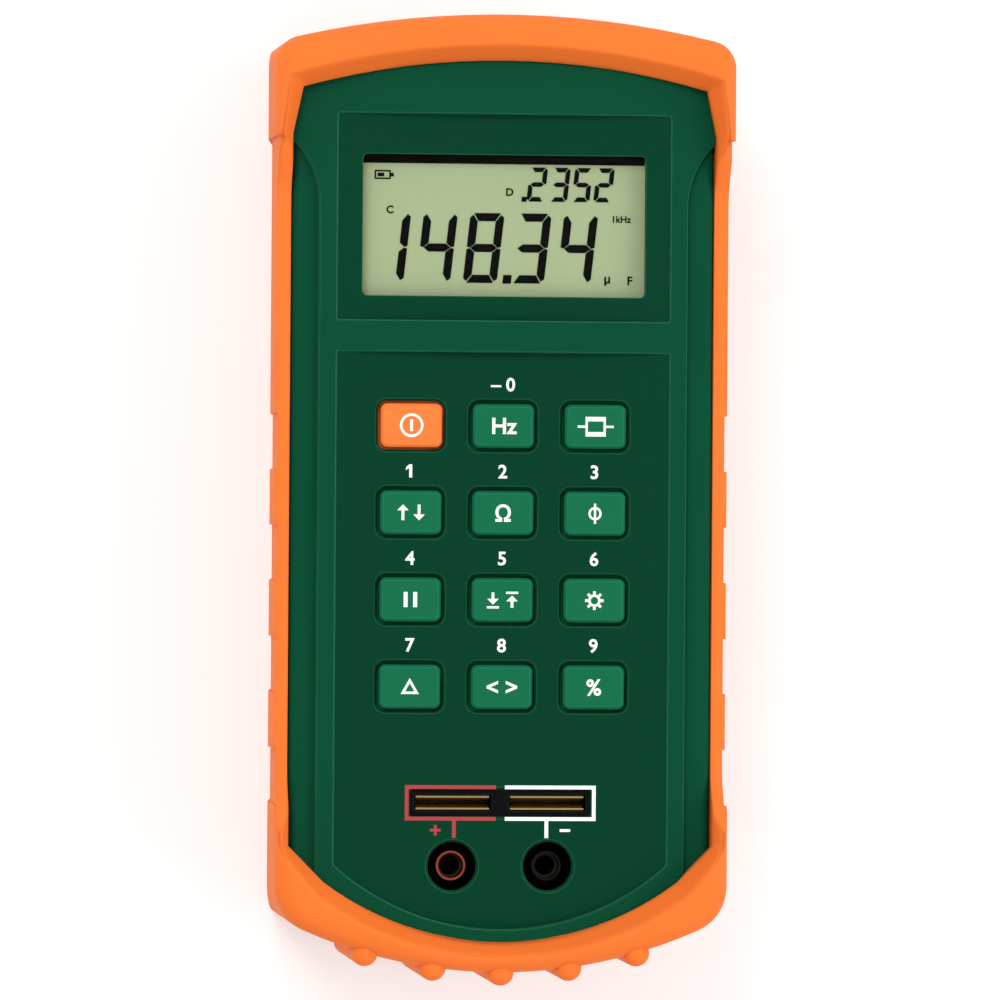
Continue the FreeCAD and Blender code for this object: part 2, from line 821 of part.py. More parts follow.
def make_rear_cover():
    """Lower half of the case."""
    body = start_body("rear_cover")
    lower_block(body, "0", BACK, "back_round")
    core = start_body("rear_core")
    lower_block(core, "shell_wall", "(%s + shell_floor)" % BACK)
    hollow(body, core)
    tongue = sketch(body, "tongue", "part_line")
    trace(tongue, case_plan("(shell_wall / 2 + tongue_gap)"))
    trace(tongue, case_plan("shell_wall"))
    grow(body, tongue, "tongue_rise")
    cut_bay(body)
    cut_stand_recess(body)
    posts = circles(body, "rear_posts", "%s + shell_floor / 2" % BACK, screw_places(), "rear_post")
    grow(body, posts, "part_line - %s - shell_floor / 2" % BACK)
    holes = circles(body, "rear_holes", BACK, screw_places(), "case_screw_diameter + 2 * head_gap")
    carve(body, holes, "part_line", up=True)
    wells = circles(body, "head_wells", BACK, screw_places(), "case_screw_head + 2 * head_gap")
    carve(body, wells, "screw_seat", up=True)
    return body


def screw(name, x, y, seat, diameter, head, head_thick, length):
    """A screw whose head bears upwards on its seat, with the shank rising from it."""
    low, high = "%s - %s" % (seat, head_thick), "%s + %s" % (seat, length)
    head_radius, shank_radius = "%s / 2" % head, "%s / 2" % diameter
    return spun(name, x, y, [
        ("0", low), (head_radius, low), (head_radius, seat), (shank_radius, seat), (shank_radius, high),
        ("0", high),
    ])


def make_case_screws():
    """Four screws that draw the case together."""
    seat = "(%s + screw_seat)" % BACK
    length = "(part_line + case_screw_bite - %s)" % seat
    made = [
        screw("case_screw_%d" % index, x, y, seat, "case_screw_diameter", "case_screw_head",
              "case_head_thick", length)
        for index, (x, y) in enumerate(screw_places(), 1)
    ]
    return together("case_screws", made)


def make_board_screws():
    """Four screws that hold the board to the front cover."""
    made = [
        screw("board_screw_%d" % index, x, y, BOARD_BOTTOM, "board_screw_diameter", "board_screw_head",
              "board_head_thick", "(board_thick + board_screw_bite - screw_fit)")
        for index, (x, y) in enumerate(board_screw_places(), 1)
    ]
    return together("board_screws", made)


def make_battery_door():
    """Flat door with two tabs and a sunk screw hole."""
    body = start_body("battery_door")
    plate = trace(sketch(body, "door_plate", BACK), box_outline(*bay_limits("(-door_gap)")))
    grow(body, plate, "door_thick")
    edge = bay_limits("(-door_gap)")[1]
    tabs = sketch(body, "door_tabs", "%s + door_thick - tab_thick" % BACK)
    for side in SIDES:
        middle = signed(side, "tab_x")
        trace(tabs, box_outline("(%s - tab_width / 2)" % middle, "(%s - tab_length)" % edge,
                                "(%s + tab_width / 2)" % middle, "(%s + %s)" % (edge, PAST)))
    grow(body, tabs, "tab_thick")
    place = [("0", DOOR_SCREW_Y)]
    hole = circles(body, "door_hole", BACK, place, "door_screw_diameter + 2 * head_gap")
    carve(body, hole, "door_thick", up=True)
    well = circles(body, "door_well", BACK, place, "door_screw_head + 2 * head_gap")
    carve(body, well, "door_head_thick", up=True)
    return body


def make_battery_door_screw():
    """Screw of the battery door."""
    length = "(door_thick - door_head_thick + door_screw_bite)"
    seat = "(%s + door_head_thick)" % BACK
    return screw("battery_door_screw", "0", DOOR_SCREW_Y, seat, "door_screw_diameter", "door_screw_head",
                 "door_head_thick", length)


CELL_BASE = "(%s + door_thick + foam_thick)" % BACK
CELL_LEFT = "(-%s / 2 + cell_end_gap)" % BAY_LENGTH
CELL_RIGHT = "(%s + cell_length)" % CELL_LEFT
CELL_MIDDLE_Z = "(%s + cell_height / 2)" % CELL_BASE


def make_battery():
    """Nine-volt block cell with its two studs."""
    body = start_body("battery")
    profile = sketch(body, "cell_section", CELL_LEFT, "YZ_Plane")
    trace(profile, oblong(minus("bay_y"), CELL_MIDDLE_Z, "cell_width", "cell_height", "cell_round"))
    grow(body, profile, "cell_length")
    studs = sketch(body, "cell_studs", CELL_RIGHT, "YZ_Plane")
    for side in SIDES:
        ring(studs, "(-bay_y + %s)" % signed(side, "stud_pitch / 2"), CELL_MIDDLE_Z, "stud_diameter / 2")
    grow(body, studs, "stud_height")
    return body


def make_battery_snap():
    """Snap cap over the studs of the cell."""
    body = start_body("battery_snap")
    profile = sketch(body, "snap_section", "%s + stud_gap" % CELL_RIGHT, "YZ_Plane")
    trace(profile, oblong(minus("bay_y"), CELL_MIDDLE_Z, "snap_width", "snap_height", "cell_round"))
    grow(body, profile, "snap_thick")
    sockets = sketch(body, "snap_sockets", "%s + stud_gap" % CELL_RIGHT, "YZ_Plane")
    for side in SIDES:
        across = "(-bay_y + %s)" % signed(side, "stud_pitch / 2")
        ring(sockets, across, CELL_MIDDLE_Z, "(stud_diameter / 2 + stud_gap)")
    carve(body, sockets, "stud_height", up=True)
    return body


def make_battery_leads():
    """Two leads from the snap cap up to the board."""
    made = []
    snap_face = "(%s + stud_gap + snap_thick)" % CELL_RIGHT
    for side in SIDES:
        body = start_body("battery_lead_%s" % ("upper" if side > 0 else "lower"))
        across = "(-bay_y + %s)" % signed(side, "lead_spread")
        path = sketch(body, body.Name + "_path", minus(across), "XZ_Plane")
        start = FreeCAD.Vector(number(snap_face), number(CELL_MIDDLE_Z), 0)
        bend = FreeCAD.Vector(number(LEAD_X), number("%s + lead_bend" % CELL_MIDDLE_Z), 0)
        top = FreeCAD.Vector(number(LEAD_X), number(BOARD_BOTTOM), 0)
        arc, _ = arc_between(start, bend, number("lead_bend"), 1)
        path.addGeometry(arc, False)
        path.addGeometry(Part.LineSegment(bend, top), False)
        path.addConstraint(Sketcher.Constraint("Coincident", 0, 2, 1, 1))
        fix(path, Sketcher.Constraint("DistanceX", -1, 1, 0, 1, start.x), snap_face)
        fix(path, Sketcher.Constraint("DistanceY", -1, 1, 0, 1, start.y), CELL_MIDDLE_Z)
        fix(path, Sketcher.Constraint("DistanceX", -1, 1, 0, 2, bend.x), LEAD_X)
        fix(path, Sketcher.Constraint("DistanceY", -1, 1, 0, 2, bend.y), "%s + lead_bend" % CELL_MIDDLE_Z)
        fix(path, Sketcher.Constraint("Radius", 0, number("lead_bend")), "lead_bend")
        fix(path, Sketcher.Constraint("DistanceX", -1, 1, 1, 2, top.x), LEAD_X)
        fix(path, Sketcher.Constraint("DistanceY", -1, 1, 1, 2, top.y), BOARD_BOTTOM)
        section = ring(sketch(body, body.Name + "_section", snap_face, "YZ_Plane"), across, CELL_MIDDLE_Z,
                       "lead_diameter / 2")
        pipe = feature(body, "AdditivePipe", body.Name + "_pipe")
        pipe.Profile = section
        pipe.Spine = path
        made.append(body)
    return together("battery_leads", made)


def make_tilt_stand():
    """Plate with a hinge barrel, two stub pins and a window."""
    body = start_body("tilt_stand")
    plate = sketch(body, "stand_plate", STAND_BOTTOM)
    half = "(stand_width / 2)"
    low = "(stand_axis_y - stand_reach)"
    trace(plate, [
        ("-stand_width / 2 + stand_corner", low), ("stand_width / 2 - stand_corner", low, "stand_corner"),
        (half, low + " + stand_corner"), (half, "stand_axis_y"), (minus(half), "stand_axis_y"),
        (minus(half), low + " + stand_corner", "stand_corner"),
    ])
    grow(body, plate, "stand_thick")
    window = sketch(body, "stand_window", STAND_BOTTOM)
    trace(window, oblong("0", "stand_window_y", "stand_window_width", "stand_window_length",
                         "stand_window_corner"))
    carve(body, window, "stand_thick", up=True)
    barrel = sketch(body, "stand_barrel", plane="YZ_Plane")
    ring(barrel, "stand_axis_y", STAND_AXIS_Z, "barrel_radius")
    grow(body, barrel, "stand_width", both=True)
    pins = sketch(body, "stand_pins", plane="YZ_Plane")
    ring(pins, "stand_axis_y", STAND_AXIS_Z, "pin_radius")
    grow(body, pins, "stand_width + 2 * pin_length", both=True)
    return body


def make_display():
    """Window, glass, light guide, contact strips and the frame around them."""
    block("display_window", "0", "view_y", LENS_BOTTOM, LENS_LENGTH, LENS_WIDTH, "lens_thick")
    block("lcd_panel", "0", "view_y", LCD_BOTTOM, LCD_LENGTH, LCD_WIDTH, "lcd_thick")
    guide_width = "(%s - 2 * strip_thick - 4 * strip_gap)" % LCD_WIDTH
    guide_height = "(%s - lcd_gap - %s)" % (LCD_BOTTOM, BOARD_TOP)
    block("backlight_panel", "0", "view_y", BOARD_TOP, LCD_LENGTH, guide_width, guide_height)
    strips = []
    strip_height = "(%s - %s)" % (LCD_BOTTOM, BOARD_TOP)
    for side, word in zip(SIDES, ("upper", "lower")):
        y = "view_y + " + signed(side, "(%s / 2 - strip_gap - strip_thick / 2)" % LCD_WIDTH)
        strips.append(block("zebra_strip_" + word, "0", y, BOARD_TOP, LCD_LENGTH, "strip_thick",
                            strip_height))
    together("zebra_strips", strips)
    body = start_body("lcd_frame")
    walls = sketch(body, "lcd_frame_walls", BOARD_TOP)
    for inset in ("0", "frame_wall"):
        trace(walls, oblong("0", "view_y", "(%s - 2 * %s)" % (LENS_LENGTH, inset),
                            "(%s - 2 * %s)" % (LENS_WIDTH, inset), "view_corner / 2"))
    grow(body, walls, "%s - %s" % (LENS_BOTTOM, BOARD_TOP))


def make_board():
    """Main board with its chip and buzzer."""
    body = start_body("main_board")
    plan = sketch(body, "board_plan", BOARD_BOTTOM)
    half, tab = "(board_width / 2)", "(board_tab_width / 2)"
    low, tab_low = minus("board_low"), minus("board_tab_low")
    trace(plan, [
        (minus(tab), tab_low), (tab, tab_low), (tab, low), (half, low), (half, "board_high"),
        (minus(half), "board_high"), (minus(half), low), (minus(tab), low),
    ])
    grow(body, plan, "board_thick")
    jacks = circles(body, "board_jack_holes", BOARD_TOP, jack_places(),
                    "shroud_bore + 2 * shroud_wall + 2 * jack_board_gap")
    carve(body, jacks, "board_thick")
    holes = circles(body, "board_screw_holes", BOARD_TOP, board_screw_places(), BOARD_PILOT)
    carve(body, holes, "board_thick")
    chip_base = "%s - chip_thick" % BOARD_BOTTOM
    block("main_chip", "chip_x", "chip_y", chip_base, "chip_side", "chip_side", "chip_thick")
    base = "(%s - buzzer_thick)" % BOARD_BOTTOM
    spun("buzzer", "buzzer_x", "buzzer_y", [
        ("0", base), ("buzzer_diameter / 2", base), ("buzzer_diameter / 2", BOARD_BOTTOM),
        ("0", BOARD_BOTTOM),
    ])


def make_key(name, x, y):
    """One key: cap, flange under the face and stem."""
    body = start_body(name)
    flange = sketch(body, name + "_flange", FLANGE_BOTTOM)
    trace(flange, oblong(x, y, HOLE_LENGTH + " + 2 * key_lap", HOLE_WIDTH + " + 2 * key_lap", "key_corner"))
    grow(body, flange, "key_flange")
    cap = sketch(body, name + "_cap", FLANGE_TOP)
    trace(cap, oblong(x, y, "key_length", "key_width", "key_corner"))
    grow(body, cap, "%s + key_proud - %s" % (PANEL, FLANGE_TOP))
    stem = sketch(body, name + "_stem", FLANGE_BOTTOM)
    trace(stem, oblong(x, y, "stem_length", "stem_width", "key_corner"))
    grow(body, stem, "%s - %s - key_travel - key_floor_gap" % (FLANGE_BOTTOM, BOARD_TOP), down=True)
    top = number(PANEL + " + key_proud")
    bevel(body, "key_bevel", lambda edge: at_level(edge, top))


def make_keypad():
    """Twelve keys, the mat below them and the soft skirts between."""
    for row, names in enumerate(KEY_NAMES):
        for column, name in enumerate(names):
            make_key(name, *key_place(row, column))
    window_length = "(stem_length + 2 * mat_window_gap)"
    window_width = "(stem_width + 2 * mat_window_gap)"
    mat = start_body("keypad_mat")
    middle = "(key_top_y - %d * key_pitch_y / 2)" % (KEY_ROWS - 1)
    plan = sketch(mat, "mat_plan", BOARD_TOP)
    length = "(%d * key_pitch_x + %s + 2 * mat_margin)" % (KEY_COLUMNS - 1, window_length)
    width = "(%d * key_pitch_y + %s + 2 * mat_margin)" % (KEY_ROWS - 1, window_width)
    grow(mat, trace(plan, oblong("0", middle, length, width, "key_corner")), "mat_thick")
    mat_top = "(%s + mat_thick)" % BOARD_TOP
    window = sketch(mat, "mat_window", mat_top)
    trace(window, oblong(*FIRST_KEY, window_length, window_width, "key_corner"))
    first = carve(mat, window, "mat_thick")
    spread(mat, first, "key_pitch_x", KEY_COLUMNS, "key_pitch_y", KEY_ROWS)
    skirts = start_body("key_skirts")
    web = sketch(skirts, "skirt_walls", mat_top)
    trace(web, oblong(*FIRST_KEY, window_length, window_width, "key_corner"))
    trace(web, oblong(*FIRST_KEY, window_length + " + 2 * skirt_wall", window_width + " + 2 * skirt_wall",
                      "(key_corner + skirt_wall)"))
    first = grow(skirts, web, "%s - %s" % (FLANGE_BOTTOM, mat_top))
    spread(skirts, first, "key_pitch_x", KEY_COLUMNS, "key_pitch_y", KEY_ROWS)


def make_component_slot():
    """Insert with two leg slots, and a pair of sprung leaves in each."""
    body = start_body("socket_insert")
    y = minus("slot_y")
    foot = sketch(body, "insert_foot", BOARD_TOP)
    trace(foot, oblong("0", y, "slot_length + 2 * insert_lap", "slot_width + 2 * insert_lap",
                       "slot_corner"))
    grow(body, foot, "%s - %s" % (ROOF, BOARD_TOP))
    neck = sketch(body, "insert_neck", ROOF)
    trace(neck, oblong("0", y, "slot_length - 2 * insert_gap", "slot_width - 2 * insert_gap",
                       "slot_corner"))
    grow(body, neck, "panel_roof - insert_sink")
    legs = sketch(body, "leg_slots", BOARD_TOP)
    for side in SIDES:
        centre = signed(side, "leg_slot_x")
        trace(legs, oblong(centre, y, "leg_slot_length", "leg_slot_width", "slot_corner / 2"))
    carve(body, legs, "%s - %s + panel_roof" % (ROOF, BOARD_TOP), up=True)
    for side, name in zip(SIDES, ("contact_negative", "contact_positive")):
        leaves = [make_leaf("%s_%s" % (name, word), signed(side, "leg_slot_x"), facing)
                  for facing, word in zip(SIDES, ("upper", "lower"))]
        together(name, leaves)


def make_leaf(name, x, facing):
    """One bowed leaf of a contact pair, on the upper or lower side of its slot."""
    body = start_body(name)
    profile = sketch(body, name + "_section", "(%s - leaf_length / 2)" % x, "YZ_Plane")
    near = "(leaf_gap / 2 + leaf_bow - sqrt(leaf_bow^2 - leaf_reach^2 / 4))"
    low, high = BOARD_TOP, "(%s + leaf_reach)" % BOARD_TOP
    far = "(%s + leaf_thick)" % near
    inner = "(-slot_y + %s)" % signed(facing, near)
    outer = "(-slot_y + %s)" % signed(facing, far)
    turn = -1 if facing > 0 else 1
    trace(profile, [
        (inner, low, "leaf_bow", turn), (inner, high), (outer, high, "leaf_bow", -turn), (outer, low),
    ])
    grow(body, profile, "leaf_length")
    return body


def make_jack(word, x, y):
    """One shrouded jack: insulator with its middle post, and the metal sleeve in it."""
    bottom = "(%s - shroud_depth)" % ROOF
    floor = "(%s + shroud_floor)" % bottom
    bore, wall = "(shroud_bore / 2)", "(shroud_bore / 2 + shroud_wall)"
    sleeve = "(plug_bore / 2 + sleeve_wall)"
    hole = "(%s + sleeve_fit)" % sleeve
    post_top = "(%s - post_sink)" % PANEL
    shoulder = "(%s - shroud_flange)" % ROOF
    spun("jack_insulator_" + word, x, y, [
        (hole, bottom), (wall, bottom), (wall, shoulder), (wall + " + shroud_lap", shoulder),
        (wall + " + shroud_lap", ROOF), (bore, ROOF), (bore, floor), ("post_diameter / 2", floor),
        ("post_diameter / 2", post_top), (hole, post_top),
    ])
    tail = "(%s - sleeve_tail)" % bottom
    top = "(%s - sleeve_sink)" % post_top
    spun("jack_sleeve_" + word, x, y, [
        ("0", tail), ("sleeve_tail_diameter / 2", tail), ("sleeve_tail_diameter / 2", bottom),
        (sleeve, bottom), (sleeve, top), ("plug_bore / 2", top), ("plug_bore / 2", bottom), ("0", bottom),
    ])


def open_outline(widen):
    """Outline of the boot's front opening, widened outwards."""
    top_bow, low_bow = "(open_top_bow + %s)" % widen, "(open_low_bow + %s)" % widen
    shoulder, heel = "(open_shoulder + %s)" % widen, "(open_heel + %s / 2)" % widen
    side = "(open_side + %s)" % widen
    shoulder_y = "(open_top - open_top_bow + sqrt(%s^2 - %s^2))" % (top_bow, shoulder)
    heel_y = "(-open_low + open_low_bow - sqrt(%s^2 - %s^2))" % (low_bow, heel)
    side_low = "(-open_side_low)"
    return [
        (minus(heel), heel_y, low_bow), (heel, heel_y), (side, side_low), (side, "open_side_high"),
        (shoulder, shoulder_y, top_bow), (minus(shoulder), shoulder_y), (minus(side), "open_side_high"),
        (minus(side), side_low),
    ]


def open_boot(body):
    """Opens the boot at the face, along the sides and at the back."""
    straight = trace(sketch(body, "boot_opening", "%s + %s" % (LIP, PAST)), open_outline("0"))
    carve(body, straight, "lip_rise + flank_drop + 2 * %s" % PAST)
    foot = trace(sketch(body, "lip_foot", FACE), open_outline(SEAM))
    crest = trace(sketch(body, "lip_crest", LIP), open_outline("lip_slope"))
    slope = feature(body, "SubtractiveLoft", "lip_slope_cut")
    slope.Profile = foot
    slope.Sections = [crest]
    sides = sketch(body, "boot_sides", plane="YZ_Plane")
    above = "(%s + %s)" % (LIP, PAST)
    trace(sides, [
        ("-ramp_low - ramp_low_run", above), ("-ramp_low", "side_height"), ("ramp_high", "side_height"),
        ("ramp_high + ramp_high_run", above),
    ])
    carve(body, sides, "2 * case_width", both=True)
    ramp_level = number("side_height")
    soften(body, "ramp_round", lambda edge: at_level(edge, ramp_level) and edge.BoundBox.YLength < TOUCH)
    back = sketch(body, "boot_back_opening", "0")
    middle = "((back_open_high - back_open_low) / 2)"
    trace(back, oblong("0", middle, "2 * back_open_half", "(back_open_high + back_open_low)",
                       "back_open_corner"))
    carve(body, back, "boot_floor + %s" % PAST, up=True)


def cut_grips(body):
    """Cuts the row of shallow grip notches into both sides."""
    inner = "(%s - grip_depth)" % BOOT_HALF
    foot = "(%s - (part_line - grip_base) * tan(side_draft))" % inner
    outer = "(%s + %s)" % (BOOT_HALF, PAST)
    top = "(%s + %s)" % (LIP, PAST)
    notch = sketch(body, "grip_notch", "grip_low", "XZ_Plane")
    for side in SIDES:
        trace(notch, [
            (signed(side, foot), "grip_base"), (signed(side, outer), "grip_base"),
            (signed(side, outer), top), (signed(side, inner), top), (signed(side, inner), "part_line"),
        ])
    first = carve(body, notch, "grip_length")
    spread(body, first, "case_width", 1, "grip_pitch", 4)


def add_bumps(body):
    """Adds the ball-ended bumps along the lower end."""
    bow = "(case_bottom_bow + boot_wall)"
    apex = "(case_bottom + boot_wall)"
    for index in range(-2, 3):
        x = "(%d * bump_pitch)" % index
        y = "(%s - %s - sqrt(%s^2 - %s^2))" % (bow, apex, bow, x)
        shapes = [feature(body, "AdditiveCylinder", "bump_%d" % (index + 3))]
        shapes[0].setExpression("Radius", bound("bump_radius"))
        shapes[0].setExpression("Height", bound("bump_top - bump_base"))
        for level, word in (("bump_base", "low"), ("bump_top", "high")):
            ball = feature(body, "AdditiveSphere", "bump_%d_%s" % (index + 3, word))
            ball.setExpression("Radius", bound("bump_radius"))
            ball.setExpression("Placement.Base.z", bound(level))
            shapes.append(ball)
        shapes[0].setExpression("Placement.Base.z", bound("bump_base"))
        for shape in shapes:
            shape.setExpression("Placement.Base.x", bound(x))
            shape.setExpression("Placement.Base.y", bound(y))


def boot_block(body, plan, half):
    """Raises one end of the boot as a rounded block with leaning sides."""
    grow(body, trace(sketch(body, body.Name + "_plan"), plan), LIP)
    for radius, level in (("lip_round", number(LIP)), ("boot_round", 0.0)):
        soften(body, radius, lambda edge: at_level(edge, level) and edge.BoundBox.YLength > TOUCH)
    cut_draft(body, half, "0")


def make_holster():
    """Rubber boot around the case, wider at its upper corners."""
    body = start_body("holster")
    bow, corner = "(case_bottom_bow + boot_wall)", "boot_low_corner"
    low_x, low_y, low_side = bow_corner(BOOT_HALF, "(case_bottom + boot_wall)", bow, corner, "0")
    end = "(bumper_low + bumper_root)"
    boot_block(body, [
        (minus(low_x), minus(low_y), bow), (low_x, minus(low_y), corner), (BOOT_HALF, minus(low_side)),
        (BOOT_HALF, end), (minus(BOOT_HALF), end), (minus(BOOT_HALF), minus(low_side), corner),
    ], BOOT_HALF)
    upper = start_body("boot_upper")
    bow, corner = "(case_top_bow + boot_wall)", "boot_top_corner"
    top_x, top_y, top_side = bow_corner(BUMPER_HALF, "(case_top + boot_wall)", bow, corner, "0")
    boot_block(upper, [
        (BUMPER_HALF, "bumper_low"), (BUMPER_HALF, top_side, corner), (top_x, top_y, bow),
        (minus(top_x), top_y, corner), (minus(BUMPER_HALF), top_side), (minus(BUMPER_HALF), "bumper_low"),
    ], BUMPER_HALF)
    joined = feature(body, "Boolean", "boot_blocks")
    joined.Type = "Fuse"
    joined.setObjects([upper])
    room = start_body("case_room")
    upper_block(room, "(-boot_gap)", "(%s + boot_gap)" % FACE)
    cut_crown(room, "(-boot_gap)")
    lower_block(room, "(-boot_gap)", "boot_floor")
    hollow(body, room)
    open_boot(body)
    cut_grips(body)
    add_bumps(body)


def make_foam():
    """Foam pad between the door and the cell."""
    block("battery_foam", "%s + cell_length / 2" % CELL_LEFT, minus("bay_y"), "%s + door_thick" % BACK,
          "cell_length", "cell_width", "foam_thick")


make_holster()
make_front_cover()
make_rear_cover()
make_case_screws()
make_battery_door()
make_battery_door_screw()
make_battery()
make_battery_snap()
make_battery_leads()
make_foam()
make_tilt_stand()
make_display()
make_board()
make_board_screws()
make_keypad()
make_component_slot()
for jack_word, jack_place in zip(("negative", "positive"), jack_places()):
    make_jack(jack_word, *jack_place)
doc.recompute()

PIECES = [
    "holster", "front_cover", "rear_cover", "case_screws", "battery_door", "battery_door_screw",
    "battery", "battery_snap", "battery_leads", "battery_foam", "tilt_stand", "display_window",
    "lcd_panel", "backlight_panel", "zebra_strips", "lcd_frame", "main_board", "main_chip", "buzzer",
    "board_screws", "keypad_mat", "key_skirts", "socket_insert", "contact_positive", "contact_negative",
    "jack_insulator_positive", "jack_insulator_negative", "jack_sleeve_positive",
    "jack_sleeve_negative",
] + [name for names in KEY_NAMES for name in names]

for thing in doc.Objects:
    if "Invalid" in thing.State or "Error" in thing.State:
        raise RuntimeError("%s did not build" % thing.Name)
os.makedirs("parts", exist_ok=True)
for piece in PIECES:
    shape = doc.getObject(piece).Shape
    if shape.isNull() or not shape.isValid():
        raise RuntimeError("%s is not a sound shape" % piece)
for piece in PIECES:
    doc.getObject(piece).Shape.exportStep("parts/%s.step" % piece)
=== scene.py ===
"""Dresses the component tester with finishes, readout and legends, and sets its studio."""

import json
import logging
import math
from collections.abc import Callable
from dataclasses import dataclass, field
from enum import Enum

import bmesh
import bpy
from mathutils import Matrix, Quaternion, Vector


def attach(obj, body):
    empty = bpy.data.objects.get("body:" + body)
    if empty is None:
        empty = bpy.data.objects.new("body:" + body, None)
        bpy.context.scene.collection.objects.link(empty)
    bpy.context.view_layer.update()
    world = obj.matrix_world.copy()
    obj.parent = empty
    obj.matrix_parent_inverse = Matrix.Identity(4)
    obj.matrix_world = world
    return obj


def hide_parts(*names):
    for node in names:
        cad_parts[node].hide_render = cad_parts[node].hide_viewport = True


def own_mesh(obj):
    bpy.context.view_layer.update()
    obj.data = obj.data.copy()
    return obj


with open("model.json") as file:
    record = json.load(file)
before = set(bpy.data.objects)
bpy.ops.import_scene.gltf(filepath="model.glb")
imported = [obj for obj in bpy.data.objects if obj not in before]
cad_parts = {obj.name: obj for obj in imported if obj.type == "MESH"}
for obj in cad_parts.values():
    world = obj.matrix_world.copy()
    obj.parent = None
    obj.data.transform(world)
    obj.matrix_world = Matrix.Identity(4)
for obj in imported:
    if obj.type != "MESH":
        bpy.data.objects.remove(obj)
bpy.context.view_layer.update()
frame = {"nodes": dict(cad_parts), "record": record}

MM = 0.001
LOG = logging.getLogger("component_tester")
CASE_BODY = "case"
PRINT_THICK = 0.04 * MM
FULL_TURN = 360.0
RING_STEPS = 32
SIDES = (-1, 1)

Colour = tuple[float, float, float]
Point = tuple[float, float]
Outline = list[Point]


def srgb(red: int, green: int, blue: int) -> Colour:
    """Turns a screen colour into a linear one.

    Args:
        red: Red from 0 to 255.
        green: Green from 0 to 255.
        blue: Blue from 0 to 255.

    Returns:
        The linear colour.
    """
    def linear(part: int) -> float:
        """One channel of the colour, made linear."""
        share = part / 255
        return share / 12.92 if share <= 0.04045 else ((share + 0.055) / 1.055) ** 2.4

    return linear(red), linear(green), linear(blue)


class Coat(Enum):
    """How a surface is textured."""

    PLAIN = "plain"
    GRAIN = "grain"
    PANELLED = "panelled"
    CLEAR = "clear"


@dataclass(frozen=True)
class Finish:
    """Colour and feel of one material.

    Attributes:
        name: Name of the material.
        colour: Linear base colour.
        roughness: Roughness from 0 to 1.
        metallic: Metal share from 0 to 1.
        coat: How the surface is textured.
        grain_scale: Fineness of the grain, in grains per metre.
        grain_depth: Height of the grain, in metres.
        edge_lift: How much lighter rounded edges are painted, as a painted highlight where light would catch
            them.
        edge_radius: How far sharp edges look rounded, in metres.
        specular: Strength of the sheen.
    """

    name: str
    colour: Colour
    roughness: float = 0.5
    metallic: float = 0.0
    coat: Coat = Coat.PLAIN
    grain_scale: float = 1500.0
    grain_depth: float = 0.00003
    edge_lift: float = 0.0
    edge_radius: float = 0.00035
    specular: float = 0.4


